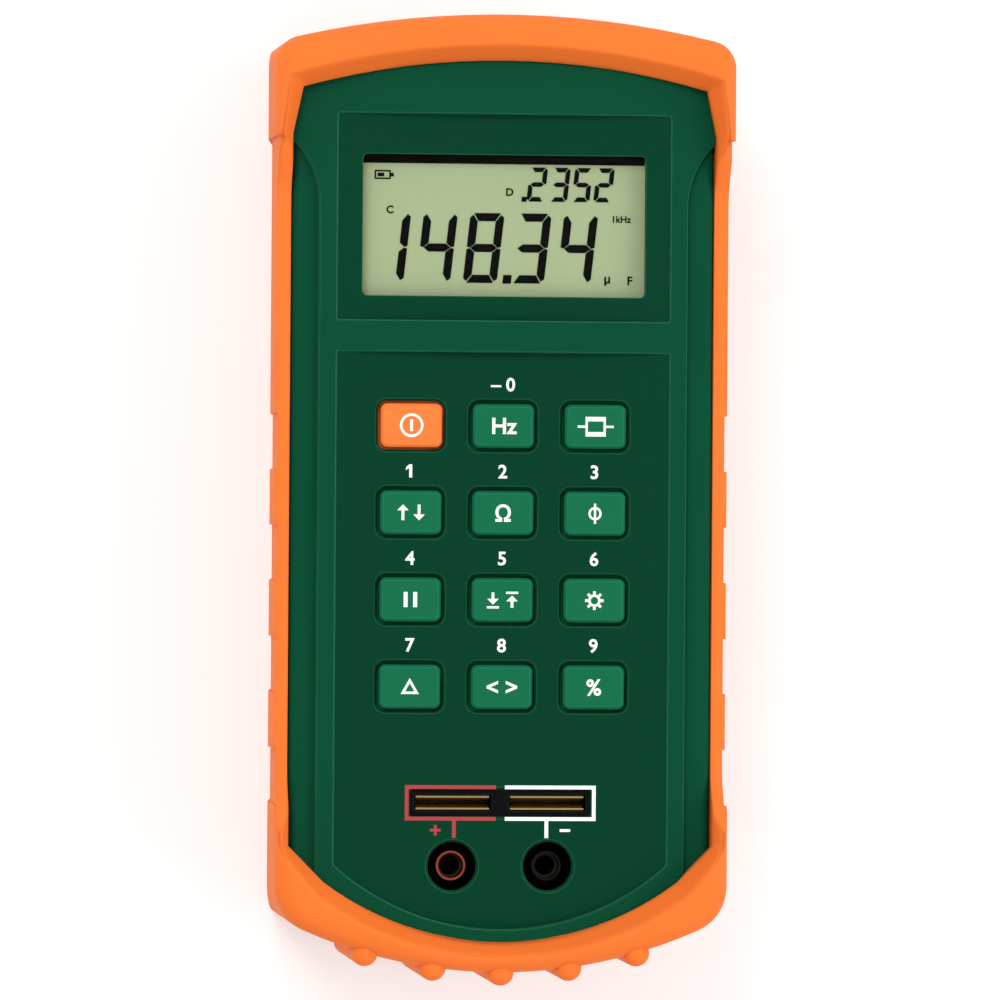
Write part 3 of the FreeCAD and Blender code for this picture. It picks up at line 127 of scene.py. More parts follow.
class Shaders:
    """Shared shader effects, each built once as a node group.

    Attributes:
        grain: Fine moulded grain.
        edge: Softened sharp edges, and the mask where the painted edge highlight goes.
        panel: Mask of the sunk panels.
    """

    GRAIN_SCALE = 1500.0
    FINE_DETAIL = 2.0
    SLOW_SCALE = 45.0
    SLOW_DETAIL = 4.0
    EDGE_RADIUS = 0.0003
    EDGE_SAMPLES = 4
    EDGE_START = 0.995
    EDGE_FULL = 0.85
    PANEL_HALF_WIDTH = 0.03325
    PANEL_LEVEL = 0.0463

    def __init__(self) -> None:
        """Builds every group."""
        self.grain = self._build_grain()
        self.edge = self._build_edge()
        self.panel = self._build_panel()

    @staticmethod
    def _start(name: str, inputs: list[tuple[str, float]],
               outputs: list[tuple[str, str]]) -> bpy.types.NodeTree:
        """Starts a node group.

        Args:
            name: Name of the group.
            inputs: Name and default of each number the group takes.
            outputs: Name and socket type of each thing the group gives.

        Returns:
            The empty group with its sockets.
        """
        group = bpy.data.node_groups.new(name, "ShaderNodeTree")
        for label, default in inputs:
            socket = group.interface.new_socket(label, in_out="INPUT", socket_type="NodeSocketFloat")
            socket.default_value = default
        for label, kind in outputs:
            group.interface.new_socket(label, in_out="OUTPUT", socket_type=kind)
        group.nodes.new("NodeGroupInput")
        group.nodes.new("NodeGroupOutput")
        return group

    @staticmethod
    def _math(group: bpy.types.NodeTree, operation: str) -> bpy.types.Node:
        """Adds a sum to a group.

        Args:
            group: The group.
            operation: What the node works out.

        Returns:
            The new node.
        """
        node = group.nodes.new("ShaderNodeMath")
        node.operation = operation
        return node

    def _build_grain(self) -> bpy.types.NodeTree:
        """Builds the fine moulded grain: a height and a slow tint.

        Returns:
            The group.
        """
        group = self._start(
            "surface_grain", [("Scale", self.GRAIN_SCALE)],
            [("Height", "NodeSocketFloat"), ("Tint", "NodeSocketFloat")],
        )
        nodes, links = group.nodes, group.links
        place = nodes.new("ShaderNodeTexCoord")
        fine = nodes.new("ShaderNodeTexNoise")
        fine.inputs["Detail"].default_value = self.FINE_DETAIL
        slow = nodes.new("ShaderNodeTexNoise")
        slow.inputs["Scale"].default_value = self.SLOW_SCALE
        slow.inputs["Detail"].default_value = self.SLOW_DETAIL
        links.new(place.outputs["Object"], fine.inputs["Vector"])
        links.new(place.outputs["Object"], slow.inputs["Vector"])
        links.new(nodes["Group Input"].outputs["Scale"], fine.inputs["Scale"])
        links.new(fine.outputs[0], nodes["Group Output"].inputs["Height"])
        links.new(slow.outputs[0], nodes["Group Output"].inputs["Tint"])
        return group

    def _build_edge(self) -> bpy.types.NodeTree:
        """Builds the rounded normal at sharp edges, and a mask of where those edges are, which places the
        painted edge highlight.

        Returns:
            The group.
        """
        group = self._start(
            "soft_edge", [("Radius", self.EDGE_RADIUS)],
            [("Normal", "NodeSocketVector"), ("Mask", "NodeSocketFloat")],
        )
        nodes, links = group.nodes, group.links
        bevel = nodes.new("ShaderNodeBevel")
        bevel.samples = self.EDGE_SAMPLES
        shape = nodes.new("ShaderNodeNewGeometry")
        dot = nodes.new("ShaderNodeVectorMath")
        dot.operation = "DOT_PRODUCT"
        spread = nodes.new("ShaderNodeMapRange")
        spread.inputs["From Min"].default_value = self.EDGE_START
        spread.inputs["From Max"].default_value = self.EDGE_FULL
        links.new(nodes["Group Input"].outputs["Radius"], bevel.inputs["Radius"])
        links.new(bevel.outputs["Normal"], dot.inputs[0])
        links.new(shape.outputs["Normal"], dot.inputs[1])
        links.new(dot.outputs["Value"], spread.inputs["Value"])
        links.new(bevel.outputs["Normal"], nodes["Group Output"].inputs["Normal"])
        links.new(spread.outputs["Result"], nodes["Group Output"].inputs["Mask"])
        return group

    def _build_panel(self) -> bpy.types.NodeTree:
        """Builds the mask of the sunk panels of the face, by place.

        Returns:
            The group.
        """
        group = self._start(
            "panel_mask", [("Half Width", self.PANEL_HALF_WIDTH), ("Level", self.PANEL_LEVEL)],
            [("Mask", "NodeSocketFloat")],
        )
        nodes, links = group.nodes, group.links
        place = nodes.new("ShaderNodeTexCoord")
        split = nodes.new("ShaderNodeSeparateXYZ")
        width = self._math(group, "ABSOLUTE")
        inside = self._math(group, "LESS_THAN")
        below = self._math(group, "LESS_THAN")
        both = self._math(group, "MULTIPLY")
        links.new(place.outputs["Object"], split.inputs[0])
        links.new(split.outputs["X"], width.inputs[0])
        links.new(width.outputs[0], inside.inputs[0])
        links.new(nodes["Group Input"].outputs["Half Width"], inside.inputs[1])
        links.new(split.outputs["Z"], below.inputs[0])
        links.new(nodes["Group Input"].outputs["Level"], below.inputs[1])
        links.new(inside.outputs[0], both.inputs[0])
        links.new(below.outputs[0], both.inputs[1])
        links.new(both.outputs[0], nodes["Group Output"].inputs["Mask"])
        return group


class Paints:
    """Builds and keeps one material for each finish.

    Attributes:
        shaders: The shared effects.
        made: Each material built so far, by name.
    """

    PANEL_SHADE = 0.66
    TINT_SHADE = 0.9
    ROUGH_SPREAD = 0.05
    CLEAR_BLEND = 0.12
    EDGE_LIGHT = 0.02
    MIX_FIRST = 6
    MIX_SECOND = 7
    MIX_RESULT = 2

    def __init__(self, shaders: Shaders) -> None:
        """Starts with no material built."""
        self.shaders = shaders
        self.made: dict[str, bpy.types.Material] = {}

    def get(self, finish: Finish) -> bpy.types.Material:
        """Gives the material of a finish, built on first use.

        Args:
            finish: Colour and feel.

        Returns:
            The material.
        """
        if finish.name not in self.made:
            self.made[finish.name] = self._build(finish)
        return self.made[finish.name]

    @staticmethod
    def _group(tree: bpy.types.NodeTree, group: bpy.types.NodeTree) -> bpy.types.Node:
        """Adds a shared effect to a material.

        Args:
            tree: The material's nodes.
            group: The effect.

        Returns:
            The effect's node.
        """
        node = tree.nodes.new("ShaderNodeGroup")
        node.node_tree = group
        return node

    def _mix(self, tree: bpy.types.NodeTree, mask: bpy.types.NodeSocket,
             first: Colour | bpy.types.NodeSocket, second: Colour) -> bpy.types.NodeSocket:
        """Mixes two colours by a mask.

        Args:
            tree: The material's nodes.
            mask: Where the second colour shows.
            first: A colour or a colour socket.
            second: The colour where the mask is one.

        Returns:
            The mixed colour.
        """
        node = tree.nodes.new("ShaderNodeMix")
        node.data_type = "RGBA"
        tree.links.new(mask, node.inputs[0])
        if isinstance(first, bpy.types.NodeSocket):
            tree.links.new(first, node.inputs[self.MIX_FIRST])
        else:
            node.inputs[self.MIX_FIRST].default_value = (*first, 1.0)
        node.inputs[self.MIX_SECOND].default_value = (*second, 1.0)
        return node.outputs[self.MIX_RESULT]

    def _clear(self, tree: bpy.types.NodeTree, shader: bpy.types.Node) -> None:
        """Makes a surface see-through from the front and glossy at a low angle.

        Args:
            tree: The material's nodes.
            shader: Its main shader.
        """
        facing = tree.nodes.new("ShaderNodeLayerWeight")
        facing.inputs["Blend"].default_value = self.CLEAR_BLEND
        tree.links.new(facing.outputs["Facing"], shader.inputs["Alpha"])

    def _build(self, finish: Finish) -> bpy.types.Material:
        """Builds the material of a finish.

        Args:
            finish: Colour and feel.

        Returns:
            The new material.
        """
        material = bpy.data.materials.new(finish.name)
        material.use_nodes = True
        tree = material.node_tree
        shader = tree.nodes["Principled BSDF"]
        shader.inputs["Base Color"].default_value = (*finish.colour, 1.0)
        shader.inputs["Roughness"].default_value = finish.roughness
        shader.inputs["Metallic"].default_value = finish.metallic
        shader.inputs["Specular IOR Level"].default_value = finish.specular
        if finish.coat is Coat.CLEAR:
            self._clear(tree, shader)
            return material
        grain = self._group(tree, self.shaders.grain)
        grain.inputs["Scale"].default_value = finish.grain_scale
        dark = tuple(part * self.TINT_SHADE for part in finish.colour)
        colour = self._mix(tree, grain.outputs["Tint"], dark, finish.colour)
        rough = tree.nodes.new("ShaderNodeMapRange")
        rough.inputs["To Min"].default_value = finish.roughness - self.ROUGH_SPREAD
        rough.inputs["To Max"].default_value = finish.roughness + self.ROUGH_SPREAD
        bump = tree.nodes.new("ShaderNodeBump")
        bump.inputs["Distance"].default_value = finish.grain_depth
        if finish.coat is Coat.PANELLED:
            panel = self._group(tree, self.shaders.panel)
            shaded = tuple(part * self.PANEL_SHADE for part in finish.colour)
            colour = self._mix(tree, panel.outputs["Mask"], colour, shaded)
        if finish.coat is not Coat.PLAIN:
            edge = self._group(tree, self.shaders.edge)
            edge.inputs["Radius"].default_value = finish.edge_radius
            # Painted highlight: sharp edges get a lighter colour, standing in for the light that catches them.
            highlight_glow = self.EDGE_LIGHT * finish.edge_lift
            light = tuple(min(part * (1 + finish.edge_lift) + highlight_glow, 1.0) for part in finish.colour)
            colour = self._mix(tree, edge.outputs["Mask"], colour, light)
            tree.links.new(edge.outputs["Normal"], bump.inputs["Normal"])
        tree.links.new(grain.outputs["Tint"], rough.inputs["Value"])
        tree.links.new(rough.outputs["Result"], shader.inputs["Roughness"])
        tree.links.new(colour, shader.inputs["Base Color"])
        tree.links.new(grain.outputs["Height"], bump.inputs["Height"])
        tree.links.new(bump.outputs["Normal"], shader.inputs["Normal"])
        return material


# The edge value of each finish sets the strength of its painted edge highlight.
BOOT_ORANGE = Finish("boot_orange", srgb(236, 114, 43), 0.6, coat=Coat.GRAIN, grain_scale=2600.0,
                     edge_lift=0.2, edge_radius=0.0022, specular=0.12)
CASE_GREEN = Finish("case_green", srgb(6, 70, 46), 0.5, coat=Coat.PANELLED, grain_scale=3200.0,
                    grain_depth=0.00006, edge_lift=1.5, specular=0.03)
KEY_GREEN = Finish("key_green", srgb(6, 100, 65), 0.5, coat=Coat.GRAIN, grain_scale=2600.0,
                   edge_lift=0.8, specular=0.1)
KEY_ORANGE = Finish("key_orange", srgb(238, 117, 48), 0.5, coat=Coat.GRAIN, grain_scale=2600.0,
                    edge_lift=0.3, specular=0.2)
WINDOW_CLEAR = Finish("window_clear", (0.9, 0.9, 0.9), 0.06, 1.0, coat=Coat.CLEAR)
LCD_GREY = Finish("lcd_grey", srgb(164, 178, 138), 0.5, specular=0.04)
GUIDE_WHITE = Finish("guide_white", (0.8, 0.82, 0.8), 0.3)
STRIP_PINK = Finish("strip_pink", srgb(205, 150, 140), 0.7)
PLASTIC_BLACK = Finish("plastic_black", (0.008, 0.008, 0.009), 0.42, coat=Coat.GRAIN, edge_lift=1.5,
                       specular=0.1)
BOARD_GREEN = Finish("board_green", srgb(18, 92, 48), 0.35)
STEEL = Finish("screw_steel", (0.55, 0.55, 0.57), 0.3, 1.0)
BRASS = Finish("contact_brass", (0.46, 0.32, 0.12), 0.32, 1.0)
# Painted shade: the brass sleeves get a near-black colour for the shade deep in their bores.
SLEEVE_PAINTED_SHADE = Finish("sleeve_painted_shade", (0.03, 0.024, 0.014), 0.55, 0.7, specular=0.1)
INSERT_BLACK = Finish("insert_black", (0.0025, 0.003, 0.0035), 0.45, coat=Coat.GRAIN, edge_lift=0.8,
                      specular=0.04)
MAT_GREY = Finish("mat_grey", (0.35, 0.36, 0.35), 0.7)
JACK_RED = Finish("jack_red", srgb(150, 62, 46), 0.4, specular=0.1)
JACK_BLACK = Finish("jack_black", (0.004, 0.004, 0.005), 0.4, specular=0.08)
CELL_GREY = Finish("cell_grey", (0.12, 0.12, 0.13), 0.35, 0.3)
LEAD_RED = Finish("lead_red", srgb(170, 30, 26), 0.4)
FOAM_DARK = Finish("foam_dark", (0.03, 0.03, 0.03), 0.95)
# Black of the readout's print, also used for painted shade: the border at the window's upper edge and the cross
# on the door screw.
INK_AND_SHADE_BLACK = Finish("ink_and_painted_shade", (0.003, 0.003, 0.003), 0.6, specular=0.02)
PRINT_WHITE = Finish("print_white", srgb(236, 240, 236), 0.5)
PRINT_RED = Finish("print_red", srgb(164, 48, 50), 0.5)

SLOT_FINISHES = {
    "holster_rubber": BOOT_ORANGE,
    "case_plastic": CASE_GREEN,
    "key_rubber": KEY_GREEN,
    "power_key_rubber": KEY_ORANGE,
    "window_plastic": WINDOW_CLEAR,
    "lcd_glass": LCD_GREY,
    "light_guide": GUIDE_WHITE,
    "strip_rubber": STRIP_PINK,
    "frame_plastic": PLASTIC_BLACK,
    "board_laminate": BOARD_GREEN,
    "chip_epoxy": PLASTIC_BLACK,
    "steel": STEEL,
    "mat_rubber": MAT_GREY,
    "insert_plastic": INSERT_BLACK,
    "brass": BRASS,
    "jack_red": JACK_BLACK,
    "jack_black": JACK_BLACK,
    "cell_jacket": CELL_GREY,
    "snap_plastic": PLASTIC_BLACK,
    "lead_jacket": LEAD_RED,
    "foam": FOAM_DARK,
}
NODE_FINISHES = {
    "jack_sleeve_positive": SLEEVE_PAINTED_SHADE,
    "jack_sleeve_negative": SLEEVE_PAINTED_SHADE,
}


class Pieces:
    """Makes printed plates, turned forms and words, and hangs them on a body.

    Attributes:
        paints: The materials.
        names: Name of each piece made so far.
    """

    CAPITAL_SHARE = 0.70
    LETTER_WEIGHT = 0.022
    LETTER_STEPS = 3

    def __init__(self, paints: Paints) -> None:
        """Starts with no piece made."""
        self.paints = paints
        self.names: list[str] = []

    def keep(self, mesh: bpy.types.Mesh, name: str, finish: Finish,
             body: str = CASE_BODY) -> bpy.types.Object:
        """Links a mesh as a piece that rides a body.

        Args:
            mesh: The piece's mesh in the row frame.
            name: Name of the piece.
            finish: Its finish.
            body: The body that it rides.

        Returns:
            The new piece.
        """
        thing = bpy.data.objects.new(name, mesh)
        bpy.context.scene.collection.objects.link(thing)
        mesh.materials.clear()
        mesh.materials.append(self.paints.get(finish))
        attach(thing, body)
        self.names.append(name)
        LOG.info("%s made on %s", name, body)
        return thing

    def plates(self, name: str, outlines: list[Outline], level: float, finish: Finish,
               body: str = CASE_BODY) -> None:
        """Makes thin plates from outlines in millimetres, lying at a level.

        Args:
            name: Name of the piece.
            outlines: Corners of each plate, turning left.
            level: Height of the plates' underside, in millimetres.
            finish: Finish of the plates.
            body: The body that carries them.
        """
        points: list[tuple[float, float, float]] = []
        faces: list[tuple[int, ...]] = []
        for outline in outlines:
            first, count = len(points), len(outline)
            for height in (level * MM, level * MM + PRINT_THICK):
                points.extend((x * MM, y * MM, height) for x, y in outline)
            faces.append(tuple(first + index for index in reversed(range(count))))
            faces.append(tuple(first + count + index for index in range(count)))
            for index in range(count):
                after = (index + 1) % count
                faces.append((first + index, first + after, first + count + after, first + count + index))
        mesh = bpy.data.meshes.new(name)
        mesh.from_pydata(points, [], faces)
        self.keep(mesh, name, finish, body)

    def turned(self, name: str, middle: Point, profile: Outline, top: float, steps: int, finish: Finish) -> None:
        """Makes a closed turned form that stands on the case's body.

        Args:
            name: Name of the piece.
            middle: Place of its axis, in millimetres.
            profile: Radius and height of each ring from the foot up.
            top: Height of its highest point.
            steps: Number of faces round it.
            finish: Its finish.
        """
        points: list[tuple[float, float, float]] = []
        for far, height in profile:
            for step in range(steps):
                turn = math.tau * step / steps
                x, y = middle[0] + far * math.cos(turn), middle[1] + far * math.sin(turn)
                points.append((x * MM, y * MM, height * MM))
        points.append((middle[0] * MM, middle[1] * MM, top * MM))
        faces: list[tuple[int, ...]] = [tuple(reversed(range(steps)))]
        for ring in range(len(profile) - 1):
            for step in range(steps):
                first, after = ring * steps + step, ring * steps + (step + 1) % steps
                faces.append((first, after, after + steps, first + steps))
        last = (len(profile) - 1) * steps
        faces += [(last + step, last + (step + 1) % steps, len(points) - 1) for step in range(steps)]
        mesh = bpy.data.meshes.new(name)
        mesh.from_pydata(points, [], faces)
        for face in mesh.polygons:
            face.use_smooth = face.index > 0
        self.keep(mesh, name, finish)

    def text(self, name: str, words: str, centre: Point, height: float, level: float, finish: Finish,
             body: str = CASE_BODY) -> None:
        """Prints words centred on a point.

        Args:
            name: Name of the piece.
            words: What is printed.
            centre: Middle of the words, in millimetres.
            height: Height of a capital letter, in millimetres.
            level: Height of the print's underside, in millimetres.
            finish: Finish of the print.
            body: The body that carries it.
        """
        curve = bpy.data.curves.new(name, "FONT")
        curve.body = words
        curve.size = height * MM / self.CAPITAL_SHARE
        curve.align_x = "CENTER"
        curve.extrude = PRINT_THICK / 2
        curve.offset = self.LETTER_WEIGHT * curve.size
        curve.resolution_u = self.LETTER_STEPS
        maker = bpy.data.objects.new(name + "_curve", curve)
        mesh = bpy.data.meshes.new_from_object(maker)
        bpy.data.objects.remove(maker)
        bpy.data.curves.remove(curve)
        low = min(vertex.co.y for vertex in mesh.vertices)
        high = max(vertex.co.y for vertex in mesh.vertices)
        shift = Vector((centre[0] * MM, centre[1] * MM - (low + high) / 2, level * MM + PRINT_THICK / 2))
        for vertex in mesh.vertices:
            vertex.co += shift
        self.keep(mesh, name, finish, body)


def bar(start: Point, end: Point, width: float) -> Outline:
    """Draws a straight stroke.

    Args:
        start: One end of its middle line.
        end: The other end.
        width: Width of the stroke.

    Returns:
        Its four corners.
    """
    along = Vector((end[0] - start[0], end[1] - start[1])).normalized()
    side = Vector((-along.y, along.x)) * width / 2
    return [
        (start[0] - side.x, start[1] - side.y), (end[0] - side.x, end[1] - side.y),
        (end[0] + side.x, end[1] + side.y), (start[0] + side.x, start[1] + side.y),
    ]


def ring_strokes(centre: Point, radius: float, width: float, steps: int = RING_STEPS) -> list[Outline]:
    """Draws a ring as short strokes.

    Args:
        centre: Middle of the ring.
        radius: Radius of its middle line.
        width: Width of the stroke.
        steps: Number of strokes.

    Returns:
        One outline for each stroke.
    """
    made = []
    inner, outer = radius - width / 2, radius + width / 2
    for step in range(steps):
        first, last = (math.radians(FULL_TURN * (step + part) / steps) for part in (0, 1))
        corners = ((inner, first), (outer, first), (outer, last), (inner, last))
        made.append([
            (centre[0] + far * math.cos(turn), centre[1] + far * math.sin(turn)) for far, turn in corners
        ])
    return made


def cross_strokes(centre: Point, reach: float, width: float) -> list[Outline]:
    """Draws an upright cross without overlaps.

    Args:
        centre: Middle of the cross.
        reach: Half length of the cross.
        width: Width of a stroke.

    Returns:
        Its strokes.
    """
    (x, y), half = centre, width / 2
    return [
        bar((x - reach, y), (x + reach, y), width),
        bar((x, y + half), (x, y + reach), width), bar((x, y - reach), (x, y - half), width),
    ]


@dataclass(frozen=True)
class DigitRow:
    """One row of digits, measured from the middle of the window in millimetres.

    Attributes:
        name: Name of the piece.
        figures: The digits from left to right.
        places: Middle of each digit.
        y: Middle of the row.
        height: Height of a digit.
        width: Width of a digit.
        stroke: Width of a bar.
        point: Middle of the decimal point.
        point_size: Length of the point's side.
    """

    name: str
    figures: str
    places: tuple[float, ...]
    y: float
    height: float
    width: float
    stroke: float
    point: Point
    point_size: float


@dataclass
class Readout:
    """Dark digits and signs of the display, in millimetres.

    Attributes:
        middle: Middle of the window.
        level: Height of the glass.
        slant: Lean of the digits.
        gap: Distance that each bar of a digit is drawn in.
        tip_share: How far a bar's tip lies inside the digit, over the width of a bar.
        cut_share: How far an upright's tip is cut back.
        shoulder_share: How far the shoulder of an upright lies below the digit's top.
        rows: The rows of digits.
        signs: Words, place and height of each small sign.
        border_half: Half length of the black border at the upper edge, partly print and partly painted shadow of
            the window's recess wall.
        border_low: Lower edge of the border.
        border_high: Upper edge of the border.
        cell_place: Middle of the cell sign.
        cell_half: Half length of the cell sign.
        cell_rise: Half height of the cell sign, to the middle of its line.
        cell_line: Width of its line.
        cell_tip: Length of its stud.
        cell_fill: Ends of the bar in it.
        cell_thick: Width of its stud and bar.
        segments: The lit bars of each digit.
    """

    middle: Point = (0.0, 54.3)
    level: float = 43.05
    slant: float = 0.11
    gap: float = 0.07
    tip_share: float = 0.4
    cut_share: float = 0.2
    shoulder_share: float = 0.5
    rows: tuple[DigitRow, ...] = (
        DigitRow("readout_main", "14834", (-22.4, -13.1, -3.8, 5.6, 14.9), -4.35, 14.0, 6.9, 1.75,
                 (0.9, -10.5), 1.7),
        DigitRow("readout_second", "2352", (6.8, 11.35, 15.8, 20.15), 8.35, 6.9, 3.7, 1.05,
                 (4.2, 5.4), 1.0),
    )
    signs: tuple[tuple[str, float, float, float], ...] = (
        ("C", -22.5, 3.1, 1.5), ("D", 1.3, 6.8, 1.5), ("1kHz", 23.6, 1.6, 1.3), ("µ", 20.9, -10.7, 1.9),
        ("F", 25.4, -10.6, 1.7),
    )
    border_half: float = 28.2
    border_low: float = 12.3
    border_high: float = 14.6
    cell_place: Point = (-24.0, 10.0)
    cell_half: float = 1.6
    cell_rise: float = 0.75
    cell_line: float = 0.3
    cell_tip: float = 0.6
    cell_fill: Point = (-1.0, 0.3)
    cell_thick: float = 0.7
    segments: dict[str, str] = field(default_factory=lambda: {
        "1": "bc", "2": "abged", "3": "abgcd", "4": "fgbc", "5": "afgcd", "8": "abcdefg",
    })

    def digit(self, figure: str, x: float, row: DigitRow) -> list[Outline]:
        """Draws one seven-bar digit.

        Args:
            figure: The digit.
            x: Its middle, from the middle of the window.
            row: The row that it stands in.

        Returns:
            One outline for each lit bar.
        """
        stroke = row.stroke
        top, side = row.height / 2, row.width / 2
        inner, low = side - stroke, top - stroke
        tip, middle = side - self.tip_share * stroke, stroke / 2
        upright = [
            (side, middle * self.cut_share), (tip, 0.0), (inner, middle), (inner, low),
            (tip, top - self.cut_share * stroke), (side, top - self.shoulder_share * stroke),
        ]
        level = [(-tip, top), (-inner, low), (inner, low), (tip, top)]
        between = [
            (-tip, 0.0), (-inner, -middle), (inner, -middle), (tip, 0.0), (inner, middle), (-inner, middle),
        ]
        shapes = {
            "a": level, "d": self.mirror(level, 1, -1), "g": between, "b": upright,
            "c": self.mirror(upright, 1, -1), "e": self.mirror(upright, -1, -1),
            "f": self.mirror(upright, -1, 1),
        }
        return [self.inset(shapes[name], (x, row.y)) for name in self.segments[figure]]

    @staticmethod
    def mirror(shape: Outline, across: int, along: int) -> Outline:
        """A bar's corners turned over in one or both directions."""
        return [(x * across, y * along) for x, y in shape]

    def inset(self, shape: Outline, centre: Point) -> Outline:
        """Draws a bar in by the gap between bars.

        Args:
            shape: The bar's corners about the digit's middle.
            centre: The digit's middle.

        Returns:
            The corners in their leaning place, turning left.
        """
        middle = Vector((sum(x for x, _ in shape), sum(y for _, y in shape))) / len(shape)
        reach = [max(abs(corner[axis] - middle[axis]) for corner in shape) for axis in (0, 1)]
        drawn = []
        for corner in shape:
            away = Vector(corner) - middle
            drawn.append(middle + Vector(away[axis] * (1 - self.gap / reach[axis]) for axis in (0, 1)))
        area = sum(first.cross(second) for first, second in zip(drawn, drawn[1:] + drawn[:1]))
        ordered = drawn if area > 0 else drawn[::-1]
        return [self.lean(corner, centre) for corner in ordered]

    def lean(self, corner: Vector, centre: Point) -> Point:
        """A corner of a digit in its leaning place."""
        x = self.middle[0] + centre[0] + corner.x + self.slant * corner.y
        return x, self.middle[1] + centre[1] + corner.y

    def dot(self, centre: Point, size: float) -> Outline:
        """Outline of a square point."""
        corners = ((-size, -size), (size, -size), (size, size), (-size, size))
        return [self.lean(Vector(corner) / 2, centre) for corner in corners]

    def cell_sign(self) -> list[Outline]:
        """Draws the cell sign.

        Returns:
            Its strokes.
        """
        x, y = self.middle[0] + self.cell_place[0], self.middle[1] + self.cell_place[1]
        half, rise, line = self.cell_half, self.cell_rise, self.cell_line
        end, inner = half - line / 2, rise - line / 2
        strokes = [bar((x - half, y + side * rise), (x + half, y + side * rise), line) for side in (1, -1)]
        strokes += [bar((x + side * end, y - inner), (x + side * end, y + inner), line) for side in SIDES]
        for first, last in ((half, half + self.cell_tip), self.cell_fill):
            strokes.append(bar((x + first, y), (x + last, y), self.cell_thick))
        return strokes

    def build(self, pieces: Pieces) -> None:
        """Makes the digits, points, small signs and the black border at the upper edge, which is partly print
        and partly painted shadow.

        Args:
            pieces: Where the pieces are made.
        """
        for row in self.rows:
            bars: list[Outline] = []
            for figure, x in zip(row.figures, row.places):
                bars += self.digit(figure, x, row)
            bars.append(self.dot(row.point, row.point_size))
            pieces.plates(row.name, bars, self.level, INK_AND_SHADE_BLACK)
        for index, (words, x, y, height) in enumerate(self.signs, 1):
            centre = (self.middle[0] + x, self.middle[1] + y)
            pieces.text("readout_sign_%d" % index, words, centre, height, self.level, INK_AND_SHADE_BLACK)
        # Painted shadow: the black border along the window's upper edge is partly print and partly stands in for
        # the shadow that the recess wall casts on the glass.
        half, low, high = self.border_half, self.border_low, self.border_high
        edge = [(-half, low), (half, low), (half, high), (-half, high)]
        shadow_border = [(self.middle[0] + x, self.middle[1] + y) for x, y in edge]
        pieces.plates("readout_shadow_border", [shadow_border], self.level, INK_AND_SHADE_BLACK)
        pieces.plates("readout_cell_sign", self.cell_sign(), self.level, INK_AND_SHADE_BLACK)


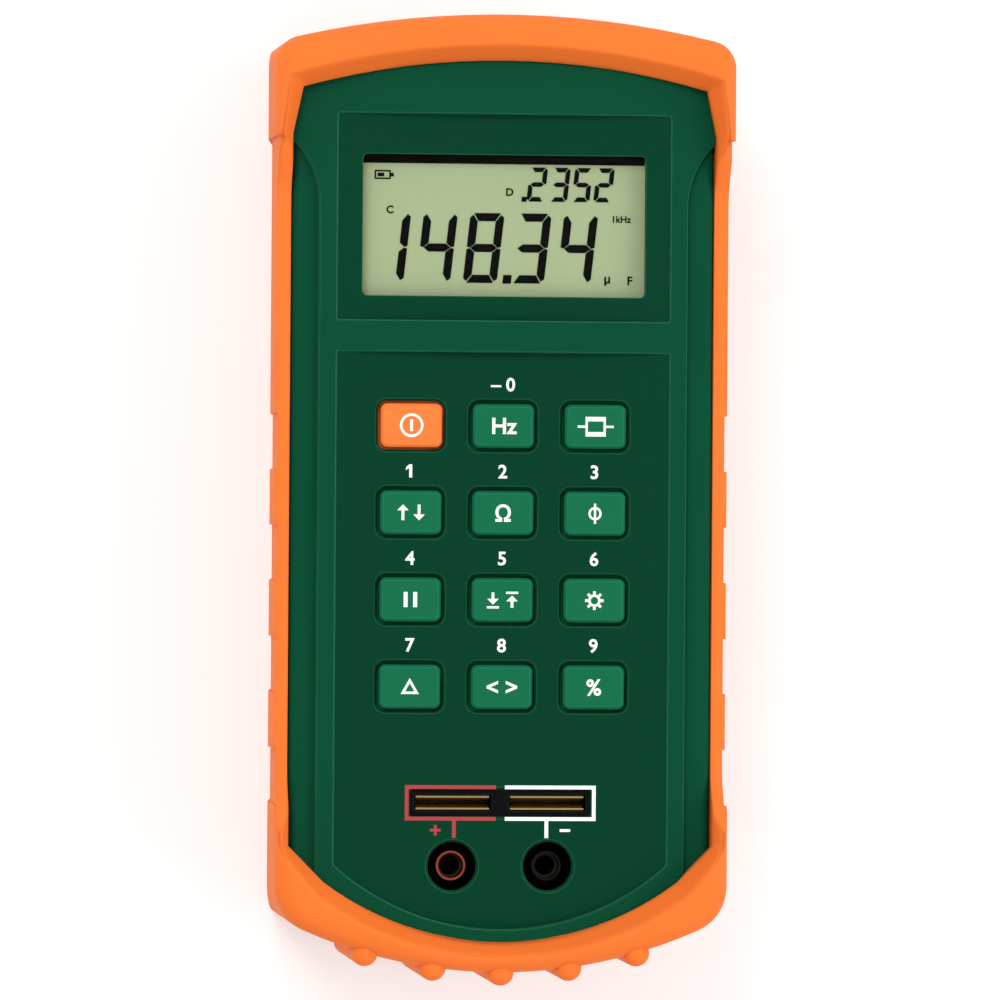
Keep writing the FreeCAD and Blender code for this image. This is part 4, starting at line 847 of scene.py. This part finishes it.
@dataclass
class KeyLegends:
    """Numbers above the keys and signs on them, in millimetres.

    Attributes:
        top_y: Middle of the first row.
        pitch_x: Distance between columns.
        pitch_y: Distance between rows.
        columns: Number of columns.
        key_level: Height of a key's top.
        panel_level: Height of the panel.
        number_rise: Distance from a key's middle to its number.
        capital: Height of a number.
        sign_capital: Height of a sign.
        line: Width of a sign's thin line.
        signs: The signs that are words, by key.
        order: The keys from the upper left.
    """

    top_y: float = 14.65
    pitch_x: float = 18.3
    pitch_y: float = 17.22
    columns: int = 3
    key_level: float = 47.505
    panel_level: float = 46.205
    number_rise: float = 8.2
    capital: float = 2.6
    sign_capital: float = 3.1
    line: float = 0.45
    signs: tuple[tuple[str, str], ...] = (
        ("key_frequency", "Hz"), ("key_quantity", "Ω"), ("key_limits", "< >"), ("key_tolerance", "%"),
    )
    order: tuple[str, ...] = (
        "key_power", "key_frequency", "key_mode", "key_range", "key_quantity", "key_quality", "key_hold",
        "key_extremes", "key_setup", "key_relative", "key_limits", "key_tolerance",
    )

    def place(self, index: int) -> Point:
        """Middle of a key, counted from the upper left."""
        return (index % self.columns - 1) * self.pitch_x, self.top_y - index // self.columns * self.pitch_y

    def build(self, pieces: Pieces) -> None:
        """Prints the numbers and the signs.

        Args:
            pieces: Where the pieces are made.
        """
        for number in range(10):
            x, y = self.place(number + 2 if number else 1)
            y += self.number_rise
            name = "number_%d" % number
            if number == 1:
                pieces.plates(name, [self.figure_one(x, y)], self.panel_level, PRINT_WHITE)
                continue
            words = str(number) if number else "– 0"
            pieces.text(name, words, (x, y), self.capital, self.panel_level, PRINT_WHITE)
        for name, words in self.signs:
            pieces.text(name + "_sign", words, self.place(self.order.index(name)), self.sign_capital,
                        self.key_level, PRINT_WHITE, name)
        self.drawn_signs(pieces)

    def figure_one(self, x: float, y: float) -> Outline:
        """Draws the figure one about a point.

        Args:
            x: Place across.
            y: Place along.

        Returns:
            Its outline.
        """
        half, thick, flag = self.capital / 2, 0.3, 0.95
        flag_high, flag_low, neck = half - 0.6, half - 1.15, half - 0.75
        corners = (
            (-thick, -half), (thick, -half), (thick, half), (-thick, half), (-flag, flag_high),
            (-flag, flag_low), (-thick, neck),
        )
        return [(x + across, y + along) for across, along in corners]

    @staticmethod
    def arrow(x: float, y: float, way: int, length: float) -> Outline:
        """Draws an arrow about a point.

        Args:
            x: Place across.
            y: Place along.
            way: One for up and minus one for down.
            length: Its length.

        Returns:
            Its outline.
        """
        half, thick, head = length / 2, 0.28, 1.15
        corners = [
            (-thick, -half), (thick, -half), (thick, half - head), (head, half - head), (0.0, half),
            (-head, half - head), (-thick, half - head),
        ]
        drawn = [(x + across, y + along * way) for across, along in corners]
        return drawn if way > 0 else drawn[::-1]

    @staticmethod
    def power(x: float, y: float) -> list[Outline]:
        """Ring with a stroke in it."""
        radius, ring_line, reach, stem = 2.1, 0.5, 1.15, 0.55
        return ring_strokes((x, y), radius, ring_line) + [bar((x, y - reach), (x, y + reach), stem)]

    def branches(self, x: float, y: float) -> list[Outline]:
        """Draws a lead that splits in two branches and joins again.

        Args:
            x: Place across.
            y: Place along.

        Returns:
            Its strokes.
        """
        half, rise, thin, thick = 1.8, 1.5, self.line, 0.9
        far, inner = half + thin / 2, rise - thick / 2
        strokes = []
        for side in SIDES:
            strokes.append(bar((x + side * far, y), (x + side * 2 * half, y), thin))
            strokes.append(bar((x + side * half, y - inner), (x + side * half, y + inner), thin))
            strokes.append(bar((x - far, y + side * rise), (x + far, y + side * rise), thick))
        return strokes

    def range_arrows(self, x: float, y: float) -> list[Outline]:
        """Arrow up and arrow down."""
        apart = 1.6
        return [self.arrow(x - side * apart, y, side, self.sign_capital) for side in (1, -1)]

    def phase(self, x: float, y: float) -> list[Outline]:
        """Draws a ring crossed by an upright stroke.

        Args:
            x: Place across.
            y: Place along.

        Returns:
            Its strokes.
        """
        radius, inside, outside, far = 1.1, 0.85, 1.35, 2.0
        strokes = ring_strokes((x, y), radius, self.line)
        for low, high in ((-inside, inside), (outside, far), (-far, -outside)):
            strokes.append(bar((x, y + low), (x, y + high), self.line))
        return strokes

    @staticmethod
    def pause(x: float, y: float) -> list[Outline]:
        """Two upright bars."""
        apart, reach, thick = 0.95, 1.5, 0.8
        return [bar((x + side * apart, y - reach), (x + side * apart, y + reach), thick) for side in SIDES]

    def extremes(self, x: float, y: float) -> list[Outline]:
        """Draws an arrow down to a line and an arrow up to a line.

        Args:
            x: Place across.
            y: Place along.

        Returns:
            Their strokes.
        """
        apart, sink, length, half, rise = 1.9, 0.3, 2.4, 1.2, 1.45
        strokes = []
        for side in SIDES:
            middle, end = x + side * apart, y + side * rise
            strokes.append(self.arrow(middle, y - side * sink, side, length))
            strokes.append(bar((middle - half, end), (middle + half, end), self.line))
        return strokes

    @staticmethod
    def wheel(x: float, y: float) -> list[Outline]:
        """Draws a ring with teeth.

        Args:
            x: Place across.
            y: Place along.

        Returns:
            Its strokes.
        """
        radius, ring_line, teeth, root, reach, thick = 1.0, 0.5, 8, 1.3, 1.85, 0.55
        strokes = ring_strokes((x, y), radius, ring_line)
        for step in range(teeth):
            along = Vector((math.cos(math.tau * step / teeth), math.sin(math.tau * step / teeth)))
            near, far = along * root, along * reach
            strokes.append(bar((x + near.x, y + near.y), (x + far.x, y + far.y), thick))
        return strokes

    @staticmethod
    def difference(x: float, y: float) -> list[Outline]:
        """Draws a three-sided frame.

        Args:
            x: Place across.
            y: Place along.

        Returns:
            Its three sides.
        """
        outer_reach, inner_reach, sink = 2.1, 1.1, 0.4
        turns = (math.pi / 2, math.pi * 7 / 6, -math.pi / 6)
        corners = [Vector((math.cos(turn), math.sin(turn))) for turn in turns]
        outer = [corner * outer_reach for corner in corners]
        inner = [corner * inner_reach for corner in corners]
        frames = []
        for first in range(len(corners)):
            second = (first + 1) % len(corners)
            quad = (outer[first], outer[second], inner[second], inner[first])
            frames.append([(x + corner.x, y - sink + corner.y) for corner in quad])
        return frames

    def drawn_signs(self, pieces: Pieces) -> None:
        """Prints the signs that are made of strokes.

        Args:
            pieces: Where the pieces are made.
        """
        drawn: tuple[tuple[str, Callable[[float, float], list[Outline]]], ...] = (
            ("key_mode", self.branches), ("key_range", self.range_arrows), ("key_quality", self.phase),
            ("key_hold", self.pause), ("key_extremes", self.extremes), ("key_setup", self.wheel),
            ("key_relative", self.difference), ("key_power", self.power),
        )
        for name, shape in drawn:
            strokes = shape(*self.place(self.order.index(name)))
            pieces.plates(name + "_sign", strokes, self.key_level, PRINT_WHITE, name)


@dataclass
class KeySkirts:
    """Soft walls under the keys, one piece for each key.

    Attributes:
        node: The solid that the walls stand for.
        travel: How far a key goes down, in metres; not used.
        weld: Distance under which corners are one, in metres.
    """

    node: str = "key_skirts"
    travel: float = 0.0012
    weld: float = 0.000001

    def wall(self, name: str, middle: Point, reach: Point) -> bpy.types.Mesh:
        """Copies the wall round one place.

        Args:
            name: Name of the new mesh.
            middle: Place of the key, in metres.
            reach: Half distances to the next keys.

        Returns:
            The wall's mesh.
        """
        whole = bmesh.new()
        whole.from_mesh(frame["nodes"][self.node].data)
        others = [
            vertex for vertex in whole.verts
            if any(abs(vertex.co[axis] - middle[axis]) > reach[axis] for axis in (0, 1))
        ]
        bmesh.ops.delete(whole, geom=others, context="VERTS")
        bmesh.ops.remove_doubles(whole, verts=whole.verts, dist=self.weld)
        mesh = bpy.data.meshes.new(name)
        whole.to_mesh(mesh)
        whole.free()
        return mesh

    def build(self, pieces: Pieces) -> None:
        """Makes one wall for each key.

        Args:
            pieces: Where the pieces are made.
        """
        legends = KeyLegends()
        reach = (legends.pitch_x * MM / 2, legends.pitch_y * MM / 2)
        for index, key in enumerate(legends.order):
            x, y = legends.place(index)
            name = key + "_skirt"
            thing = pieces.keep(self.wall(name, (x * MM, y * MM), reach), name, MAT_GREY)
            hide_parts(self.node)
            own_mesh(thing)


@dataclass
class SlotMarks:
    """Coloured brackets around the component slot, in millimetres.

    Attributes:
        middle_y: Middle of the slot.
        half_length: Outer half length of the brackets.
        half_width: Outer half width of the brackets.
        line: Width of a line.
        inner: Distance of the brackets' inner ends from the middle.
        stem_x: Place of a stem across.
        stem_low: Lower end of a stem.
        sign_x: Place of a sign across.
        sign_y: Place of the signs along.
        sign_reach: Half length of a sign.
        sign_line: Width of a sign's line.
        level: Height of the panel.
    """

    middle_y: float = -60.0
    half_length: float = 19.0
    half_width: float = 3.5
    line: float = 0.75
    inner: float = 0.9
    stem_x: float = 9.2
    stem_low: float = -66.9
    sign_x: float = 12.9
    sign_y: float = -65.4
    sign_reach: float = 1.05
    sign_line: float = 0.55
    level: float = 46.205

    def bracket(self, side: int) -> list[Outline]:
        """Draws one bracket with its stem.

        Args:
            side: Minus one for the left and one for the right.

        Returns:
            Its strokes.
        """
        inset = self.line / 2
        far, near = side * (self.half_length - inset), side * self.inner
        end = far - side * inset
        high, low = self.middle_y + self.half_width - inset, self.middle_y - self.half_width + inset
        stem = side * self.stem_x
        return [
            bar((far, low - inset), (far, high + inset), self.line),
            bar((near, high), (end, high), self.line),
            bar((near, low), (end, low), self.line),
            bar((stem, low - inset), (stem, self.stem_low), self.line),
        ]

    def build(self, pieces: Pieces) -> None:
        """Prints both brackets and the signs beside them.

        Args:
            pieces: Where the pieces are made.
        """
        x, y = self.sign_x, self.sign_y
        plus = cross_strokes((-x, y), self.sign_reach, self.sign_line)
        minus = [bar((x - self.sign_reach, y), (x + self.sign_reach, y), self.sign_line)]
        pieces.plates("bracket_positive", self.bracket(-1) + plus, self.level, PRINT_RED)
        pieces.plates("bracket_negative", self.bracket(1) + minus, self.level, PRINT_WHITE)


@dataclass
class HeelBumps:
    """Ball ends that carry the ribs of the holster's lower end up over its rim, in millimetres.

    Attributes:
        count: Number of ribs.
        pitch: Distance between ribs.
        radius: Radius of a rib's end.
        bow: Radius of the lower end's curve.
        apex: Distance of the curve's lowest point from the middle.
        foot: Height where the end starts inside its rib.
        level: Height of the ball's middle.
        steps: Number of faces round an end.
    """

    count: int = 5
    pitch: float = 13.5
    radius: float = 2.62
    bow: float = 97.0
    apex: float = 93.4
    foot: float = 40.0
    level: float = 48.4
    steps: int = 36

    def profile(self) -> Outline:
        """Works out the side of an end.

        Returns:
            Radius and height along it, from its foot to just under its top.
        """
        dome = []
        for step in range(self.steps // 4):
            turn = math.radians(FULL_TURN * step / self.steps)
            dome.append((self.radius * math.cos(turn), self.level + self.radius * math.sin(turn)))
        return [(self.radius, self.foot)] + dome

    def build(self, pieces: Pieces) -> None:
        """Makes each end as a closed turned form.

        Args:
            pieces: Where the pieces are made.
        """
        top = self.level + self.radius
        for index in range(self.count):
            x = (index - (self.count - 1) / 2) * self.pitch
            y = self.bow - self.apex - math.sqrt(self.bow ** 2 - x ** 2)
            pieces.turned("heel_bump_%d" % (index + 1), (x, y), self.profile(), top, self.steps, BOOT_ORANGE)


@dataclass
class JackRing:
    """Red end of the positive jack's post, in millimetres.

    Attributes:
        middle: Centre of the jack.
        radius: Radius of the ring's middle line.
        width: Width of the ring.
        level: Height of the post's end.
        steps: Number of strokes round the ring.
    """

    middle: Point = (-9.525, -72.5)
    radius: float = 2.73
    width: float = 0.42
    level: float = 43.21
    steps: int = 40

    def build(self, pieces: Pieces) -> None:
        """Makes the ring."""
        strokes = ring_strokes(self.middle, self.radius, self.width, self.steps)
        pieces.plates("jack_ring_positive", strokes, self.level, JACK_RED)


@dataclass
class ScrewCross:
    """Black cross on the head of the battery door's screw, painted shade that stands in for its shaded cross
    recess, in millimetres.

    Attributes:
        middle: Centre of the screw.
        reach: Half length of the cross.
        width: Width of a stroke.
        level: Height of the cross's underside.
    """

    middle: Point = (0.0, -17.8)
    reach: float = 1.5
    width: float = 0.6
    level: float = 2.3

    def build(self, pieces: Pieces) -> None:
        """Makes the black cross of painted shade."""
        strokes = cross_strokes(self.middle, self.reach, self.width)
        # Painted shade: a black cross in place of the shaded cross recess of the screw head.
        pieces.plates("door_screw_cross_shade", strokes, self.level, INK_AND_SHADE_BLACK)


@dataclass(frozen=True)
class Lamp:
    """One square light that faces the object.

    Attributes:
        name: Name of the light.
        place: Where it stands, in metres.
        size: Length of its side, in metres.
        power: Its power, in watts.
    """

    name: str
    place: tuple[float, float, float]
    size: float
    power: float


@dataclass
class Studio:
    """Floor, lights and camera.

    Attributes:
        distance: From the object to the camera, in metres.
        lean: Angle of the view from the left, in degrees.
        roll: Turn of the picture, in degrees.
        aim: Point that the camera looks at.
        field: Height of the picture at the object, in metres.
        sensor: Width of the camera's sensor, in millimetres.
        sight: How far the camera sees, in metres.
        foot_level: Height under which the holster's corners make its foot, in metres.
        foot_digits: Decimal places to which those corners are told apart.
        floor_spread: Size of the floor over the size of the object's foot.
        foot_share: Size of the opening under the object, which lets light reach its back, over its foot.
        floor_grey: Base shade of the floor.
        floor_rough: Roughness of the floor.
        floor_glow: Light that the floor gives off.
        surround: Strength of the even light from all sides.
        lamps: The square lights.
    """

    distance: float = 1.6
    lean: float = 6.0
    roll: float = 0.42
    aim: tuple[float, float, float] = (0.0012, 0.0, 0.030)
    field: float = 0.2
    sensor: float = 36.0
    sight: float = 20.0
    foot_level: float = 0.5 * MM
    foot_digits: int = 5
    floor_spread: float = 60.0
    foot_share: float = 0.97
    floor_grey: float = 0.55
    floor_rough: float = 0.8
    floor_glow: float = 0.4
    surround: float = 0.85
    lamps: tuple[Lamp, ...] = (
        Lamp("key_light", (-0.5, 0.9, 1.5), 0.8, 15.0), Lamp("fill_light", (1.2, -0.3, 0.9), 1.0, 9.0),
    )

    def build(self) -> None:
        """Sets the whole studio."""
        self.floor()
        self.lights()
        self.camera()
        bpy.context.scene.view_settings.view_transform = "Standard"

    def foot(self) -> Outline:
        """Finds the outline of the holster where it lies on the floor.

        Returns:
            Its corners, turning left.
        """
        corners = [vertex.co for vertex in frame["nodes"]["holster"].data.vertices]
        digits = self.foot_digits
        spots = sorted({(round(at.x, digits), round(at.y, digits)) for at in corners if at.z < self.foot_level})
        outline: Outline = []
        for run in (spots, spots[::-1]):
            half: Outline = []
            for spot in run:
                while len(half) > 1 and self.turns_right(half[-2], half[-1], spot):
                    half.pop()
                half.append(spot)
            outline += half[:-1]
        return outline

    @staticmethod
    def turns_right(first: Point, second: Point, third: Point) -> bool:
        """Whether the way through three points doesn't turn left."""
        ahead = (second[0] - first[0]) * (third[1] - first[1])
        return ahead <= (second[1] - first[1]) * (third[0] - first[0])

    def floor_material(self) -> bpy.types.Material:
        """Builds the pale material that is clear from below.

        Returns:
            The material.
        """
        material = bpy.data.materials.new("floor_pale")
        material.use_nodes = True
        tree = material.node_tree
        shader = tree.nodes["Principled BSDF"]
        shader.inputs["Base Color"].default_value = (*[self.floor_grey] * 3, 1.0)
        shader.inputs["Roughness"].default_value = self.floor_rough
        shader.inputs["Emission Color"].default_value = (1.0, 1.0, 1.0, 1.0)
        shader.inputs["Emission Strength"].default_value = self.floor_glow
        clear = tree.nodes.new("ShaderNodeBsdfTransparent")
        facing = tree.nodes.new("ShaderNodeNewGeometry")
        mix = tree.nodes.new("ShaderNodeMixShader")
        tree.links.new(facing.outputs["Backfacing"], mix.inputs[0])
        tree.links.new(shader.outputs[0], mix.inputs[1])
        tree.links.new(clear.outputs[0], mix.inputs[2])
        tree.links.new(mix.outputs[0], tree.nodes["Material Output"].inputs["Surface"])
        return material

    def floor(self) -> None:
        """Makes the floor round the object's foot."""
        foot = self.foot()
        count = len(foot)
        shares = (self.foot_share, self.floor_spread)
        points = [(x * share, y * share, 0.0) for share in shares for x, y in foot]
        sides = []
        for index in range(count):
            after = (index + 1) % count
            sides.append((index, index + count, after + count, after))
        mesh = bpy.data.meshes.new("floor")
        mesh.from_pydata(points, [], sides)
        mesh.materials.append(self.floor_material())
        floor = bpy.data.objects.new("floor", mesh)
        bpy.context.scene.collection.objects.link(floor)

    def lights(self) -> None:
        """Sets an even surround, a key light from the upper left and a fill."""
        world = bpy.data.worlds.new("surround")
        world.use_nodes = True
        background = world.node_tree.nodes["Background"]
        background.inputs["Color"].default_value = (1.0, 1.0, 1.0, 1.0)
        background.inputs["Strength"].default_value = self.surround
        bpy.context.scene.world = world
        for lamp in self.lamps:
            light = bpy.data.lights.new(lamp.name, "AREA")
            light.size = lamp.size
            light.energy = lamp.power
            thing = bpy.data.objects.new(lamp.name, light)
            thing.location = lamp.place
            thing.rotation_euler = (-Vector(lamp.place)).to_track_quat("-Z", "Y").to_euler()
            bpy.context.scene.collection.objects.link(thing)

    def camera(self) -> None:
        """Sets the camera above the face, a little to the left."""
        lens = bpy.data.cameras.new("camera")
        lens.sensor_width = self.sensor
        lens.lens = lens.sensor_width * self.distance / self.field
        lens.clip_end = self.sight
        thing = bpy.data.objects.new("camera", lens)
        lean = math.radians(self.lean)
        back = Vector((-math.sin(lean), 0.0, math.cos(lean)))
        upward = Quaternion(back, math.radians(self.roll)) @ Vector((0.0, 1.0, 0.0))
        right = upward.cross(back).normalized()
        turn = Matrix((right, upward, back)).transposed().to_4x4()
        thing.matrix_world = Matrix.Translation(Vector(self.aim) + back * self.distance) @ turn
        bpy.context.scene.collection.objects.link(thing)
        bpy.context.scene.camera = thing


class Tester:
    """The whole dressed object.

    Attributes:
        paints: The materials.
        pieces: The pieces added to the solids.
    """

    def __init__(self) -> None:
        """Makes the shared shaders and the paints."""
        self.paints = Paints(Shaders())
        self.pieces = Pieces(self.paints)

    def paint(self) -> None:
        """Gives each solid its own finish, or that of its material slot."""
        slots = {entry["node"]: entry["material_slot"] for entry in frame["record"]["subparts"]}
        for name, thing in frame["nodes"].items():
            material = self.paints.get(NODE_FINISHES.get(name, SLOT_FINISHES[slots[name]]))
            thing.data.materials.clear()
            thing.data.materials.append(material)
            LOG.info("%s painted %s", name, material.name)

    def build(self) -> None:
        """Paints the solids and adds the other pieces."""
        self.paint()
        for part in (Readout(), KeyLegends(), KeySkirts(), SlotMarks(), HeelBumps(), JackRing(), ScrewCross()):
            part.build(self.pieces)
        LOG.info("%d pieces added", len(self.pieces.names))


def main() -> None:
    """Builds the object and the studio."""
    logging.basicConfig(level=logging.INFO)
    tester = Tester()
    tester.build()
    Studio().build()


if __name__ == "__main__":
    main()
